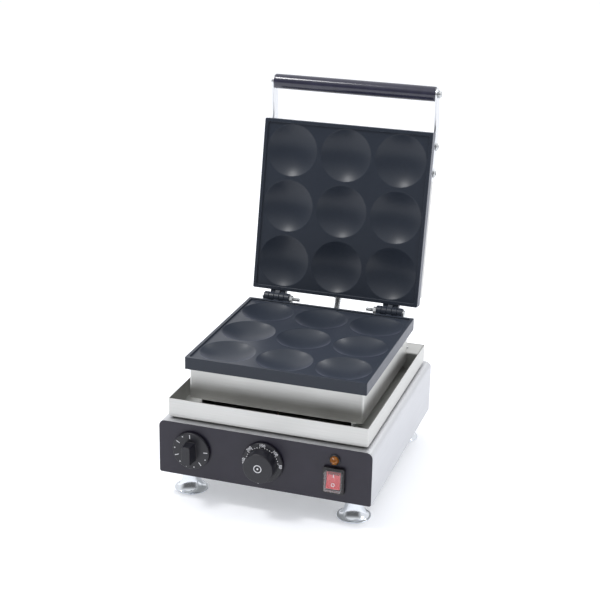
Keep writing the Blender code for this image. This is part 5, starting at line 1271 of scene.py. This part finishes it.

# %% [markdown]
# ## Lamp and switch
#
# The pilot lamp is an amber acrylic dome in a black collar. The collar is made wide and
# dark so that it also stands for the shade round the base of the lens: partly painted shade.
# Its lens is pointed and cut in twelve facets that scatter the light, so its profile is spun
# in only twelve steps and the edges between them are broken a little. The switch has a nylon
# frame with a pocket, a red rocker that dips in the middle, and a clear silicone boot over
# it that keeps batter out.

# %% Pilot lamp
# A black nylon collar, made wide and dark to stand for the shade round the lens base too: painted
# shade.
collar_and_shade = turned_ring("lamp_collar_and_shade", [
    (0.0057, 0.0002), (0.0076, 0.0002), (0.0079, 0.0005), (0.0079, 0.0016), (0.0074, 0.0022),
    (0.0066, 0.0022), (0.0064, 0.0010), (0.0057, 0.0010),
])
seat(collar_and_shade, LAMP, FACING_FRONT)
smooth(collar_and_shade)
fit(collar_and_shade, "base", nylon)
profile = [(0, -0.0022), (0.0054, -0.0022), (0.0054, 0.0006), (0.0062, 0.0012), (0.0063, 0.0026)]
profile += [(0.0052, 0.0052), (0.0032, 0.0076), (0.0010, 0.0088), (0, 0.0089)]
lens_dome = lathe("lamp_dome", profile, 12)
soften(lens_dome, 0.00025, 2, 12)
seat(lens_dome, LAMP, FACING_FRONT)
fit(lens_dome, "base", amber, "amber_lens", "pilot_lens")
print("lamp stands 9 mm proud")

# %% Switch frame
low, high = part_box("switch_body")
surround = block("switch_frame", (low.x, low.y, low.z), (high.x, front - 0.0003, high.z))
rounded(surround, 0.002, 5, runs("y"))
combine(surround, at_switch("stem", 0.01155, 0.0152, -0.0027, 0.026), "UNION")
combine(surround, at_switch("pocket", 0.01025, 0.014, -0.01, 0.013))
soften(surround, 0.0005, 3, 50)
fit(surround, "base", nylon, "knob_black", "switch_body")
print("switch frame", [round(v * 1000, 1) for v in high - low], "mm")

# %% Rocker and boot
TILT = radians(-10)
ROCKER = SWITCH + Vector((0, 0.001, 0))
FACE, DIP, HALF_HIGH, STEPS, ROCKER_WIDE = -0.0075, 0.0015, 0.012, 8, 0.0195
section = []
for i in range(STEPS, -STEPS - 1, -1):
    hollow = DIP * cos(pi / 2 * i / STEPS) ** 2
    section.append((FACE + hollow, HALF_HIGH * i / STEPS))
section += [(0.002, -HALF_HIGH), (0.007, 0), (0.002, HALF_HIGH)]
rocker = raised("red_rocker", section, ROCKER_WIDE)
seat(rocker, (-ROCKER_WIDE / 2, 0, 0), ALONG_X)
combine(rocker, block("ledge", (-0.0085, -0.009, 0.0080), (0.0085, -0.0030, 0.0130)))
soften(rocker, 0.0005, 3, 50)
seat(rocker, ROCKER, (TILT, 0, 0))
fit(rocker, "rocker", red_plastic, "rocker_red", "switch_rocker")
ring = turned_ring(
    "ring", [(0.0016, -0.0001), (0.0026, -0.0001), (0.0026, 0.0001), (0.0016, 0.0001)], 32
)
LEAN_IN, MARK_UP, MARK_OUT = radians(11), 0.0063, 0.00695
marks = [
    seat(stroke(0.0011, 0.0052), (0, MARK_UP, MARK_OUT), (LEAN_IN, 0, 0)),
    seat(ring, (0, -MARK_UP, MARK_OUT), (-LEAN_IN, 0, 0)),
]
printed("rocker_marks", marks, ROCKER, "rocker", (pi / 2 + TILT, 0, 0))

low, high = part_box("switch_boot")
INSET = 0.0014
boot = block(
    "clear_boot", (low.x + INSET, low.y, low.z + INSET), (high.x - INSET, high.y, high.z - INSET)
)
rounded(boot, 0.0025, 5, runs("y"))
rounded(boot, 0.0024, 6, lies("y", low.y))
opened(boot, lambda middle, normal: normal.y > 0.9)
thicken(boot, 0.0008)
smooth(boot, 40)
fit(boot, "base", clear_rubber, "boot_clear", "switch_boot")
print("rocker and boot are in")

# %% [markdown]
# ## The cord gland
#
# At the back is a nylon gland for the mains cord: a hexagon to hold it with a spanner,
# and a ribbed cap that squeezes the cord. The cap is turned, the hexagon is a six-sided
# peg with its corners turned off, and both are joined.

# %% Cord gland
bore = 0.0042
profile = [(bore, -0.010), (0.0076, -0.010), (0.0078, -0.0096), (0.0078, 0.0015)]
profile += [(0.0088, 0.0015), (0.0088, 0.0065), (0.0085, 0.0066), (0.0083, 0.0068)]
profile += arc((0.0053, 0.0125), 0.0030, 0, 80, 8) + [(0.0046, 0.0155), (bore, 0.0150)]
gland = turned_ring("gland_cap", profile, 64)
hexagon = peg(0.0105, 0.005, (0, 0, 0.004), sides=6)
chamfer = [
    (0.0070, 0.0015), (0.0098, 0.0015), (0.0106, 0.002), (0.0106, 0.006), (0.0098, 0.0065),
    (0.0070, 0.0065),
]
combine(hexagon, turned_ring("chamfer", chamfer), "INTERSECT")
combine(gland, hexagon, "UNION")
soften(gland, 0.0002, 2, 40)
seat(gland, GLAND, FACING_BACK)
fit(gland, "base", nylon, "knob_black", "cord_gland")
print("gland at x =", round(GLAND.x, 3))

# %% [markdown]
# ## Floor and light
#
# The machine stands on a white ground in soft light from above, with a weak shadow. A
# large pale floor, a bright sky and broad lamps give the same. Two smaller lamps behind
# draw the pair of soft glints in every hollow of the lower plate. The sky is left dark
# on the side of the camera, as a studio is behind the photographer, and that darkness is
# what draws the black streaks in the chrome and keeps the coated plates dark.

# %% Floor and light
floor_finish = finish(
    "pale studio floor", ("#F2F3F6", "#F4F5F8"), 330, (0.55, 0.65), 330,
    Emission_Strength=0.25, Emission_Color=linear("#F3F5FA"),
)
only()
bpy.ops.mesh.primitive_plane_add(size=12)
floor = bpy.context.object
floor.name = "studio_floor"
floor.data.materials.append(floor_finish)

world = bpy.data.worlds.new("studio")
bpy.context.scene.world = world
world.use_nodes = True
sky = world.node_tree.nodes["Background"]
sky.inputs["Color"].default_value = linear("#F9FAFC")
axes = add(world, "ShaderNodeSeparateXYZ", links={
    "Vector": add(world, "ShaderNodeTexCoord").outputs["Generated"],
})
ramps = [
    add(
        world, "ShaderNodeMapRange", {"interpolation_type": "SMOOTHSTEP"},
        {"From Min": start, "From Max": end}, {"Value": axes.outputs[axis]},
    ).outputs["Result"]
    for axis, start, end in (("Z", 0.3, 0.85), ("Y", -0.7, 0.2))
]
brighter = add(
    world, "ShaderNodeMath", {"operation": "MAXIMUM"}, links={0: ramps[0], 1: ramps[1]}
)
lit = add(
    world, "ShaderNodeMapRange", None, {"To Min": 0.16, "To Max": 1.03},
    {"Value": brighter.outputs["Value"]},
)
world.node_tree.links.new(lit.outputs["Result"], sky.inputs["Strength"])


def softbox(name, place, aim, size, watts):
    """A broad rectangular lamp that looks at a point."""
    lamp = bpy.data.lights.new(name, "AREA")
    lamp.shape, lamp.size, lamp.size_y, lamp.energy = "RECTANGLE", size[0], size[1], watts
    stand = bpy.data.objects.new(name, lamp)
    bpy.context.scene.collection.objects.link(stand)
    stand.location = place
    stand.rotation_euler = (Vector(aim) - Vector(place)).to_track_quat("-Z", "Y").to_euler()


softbox("lamp overhead", (-1.05, -0.75, 2.6), (0, 0, 0.2), (0.7, 0.5), 26)
softbox("lamp right", (2.2, 0.3, 1.6), (0, 0, 0.25), (1.2, 1.2), 6)
softbox("lamp back left", (-1.5, 0.43, 2.0), (0, 0, 0.2), (0.4, 0.4), 8)
softbox("lamp back right", (0.92, 1.27, 2.0), (0, 0, 0.2), (0.4, 0.4), 8)
bpy.context.scene.view_settings.view_transform = "Standard"
print("studio is lit")
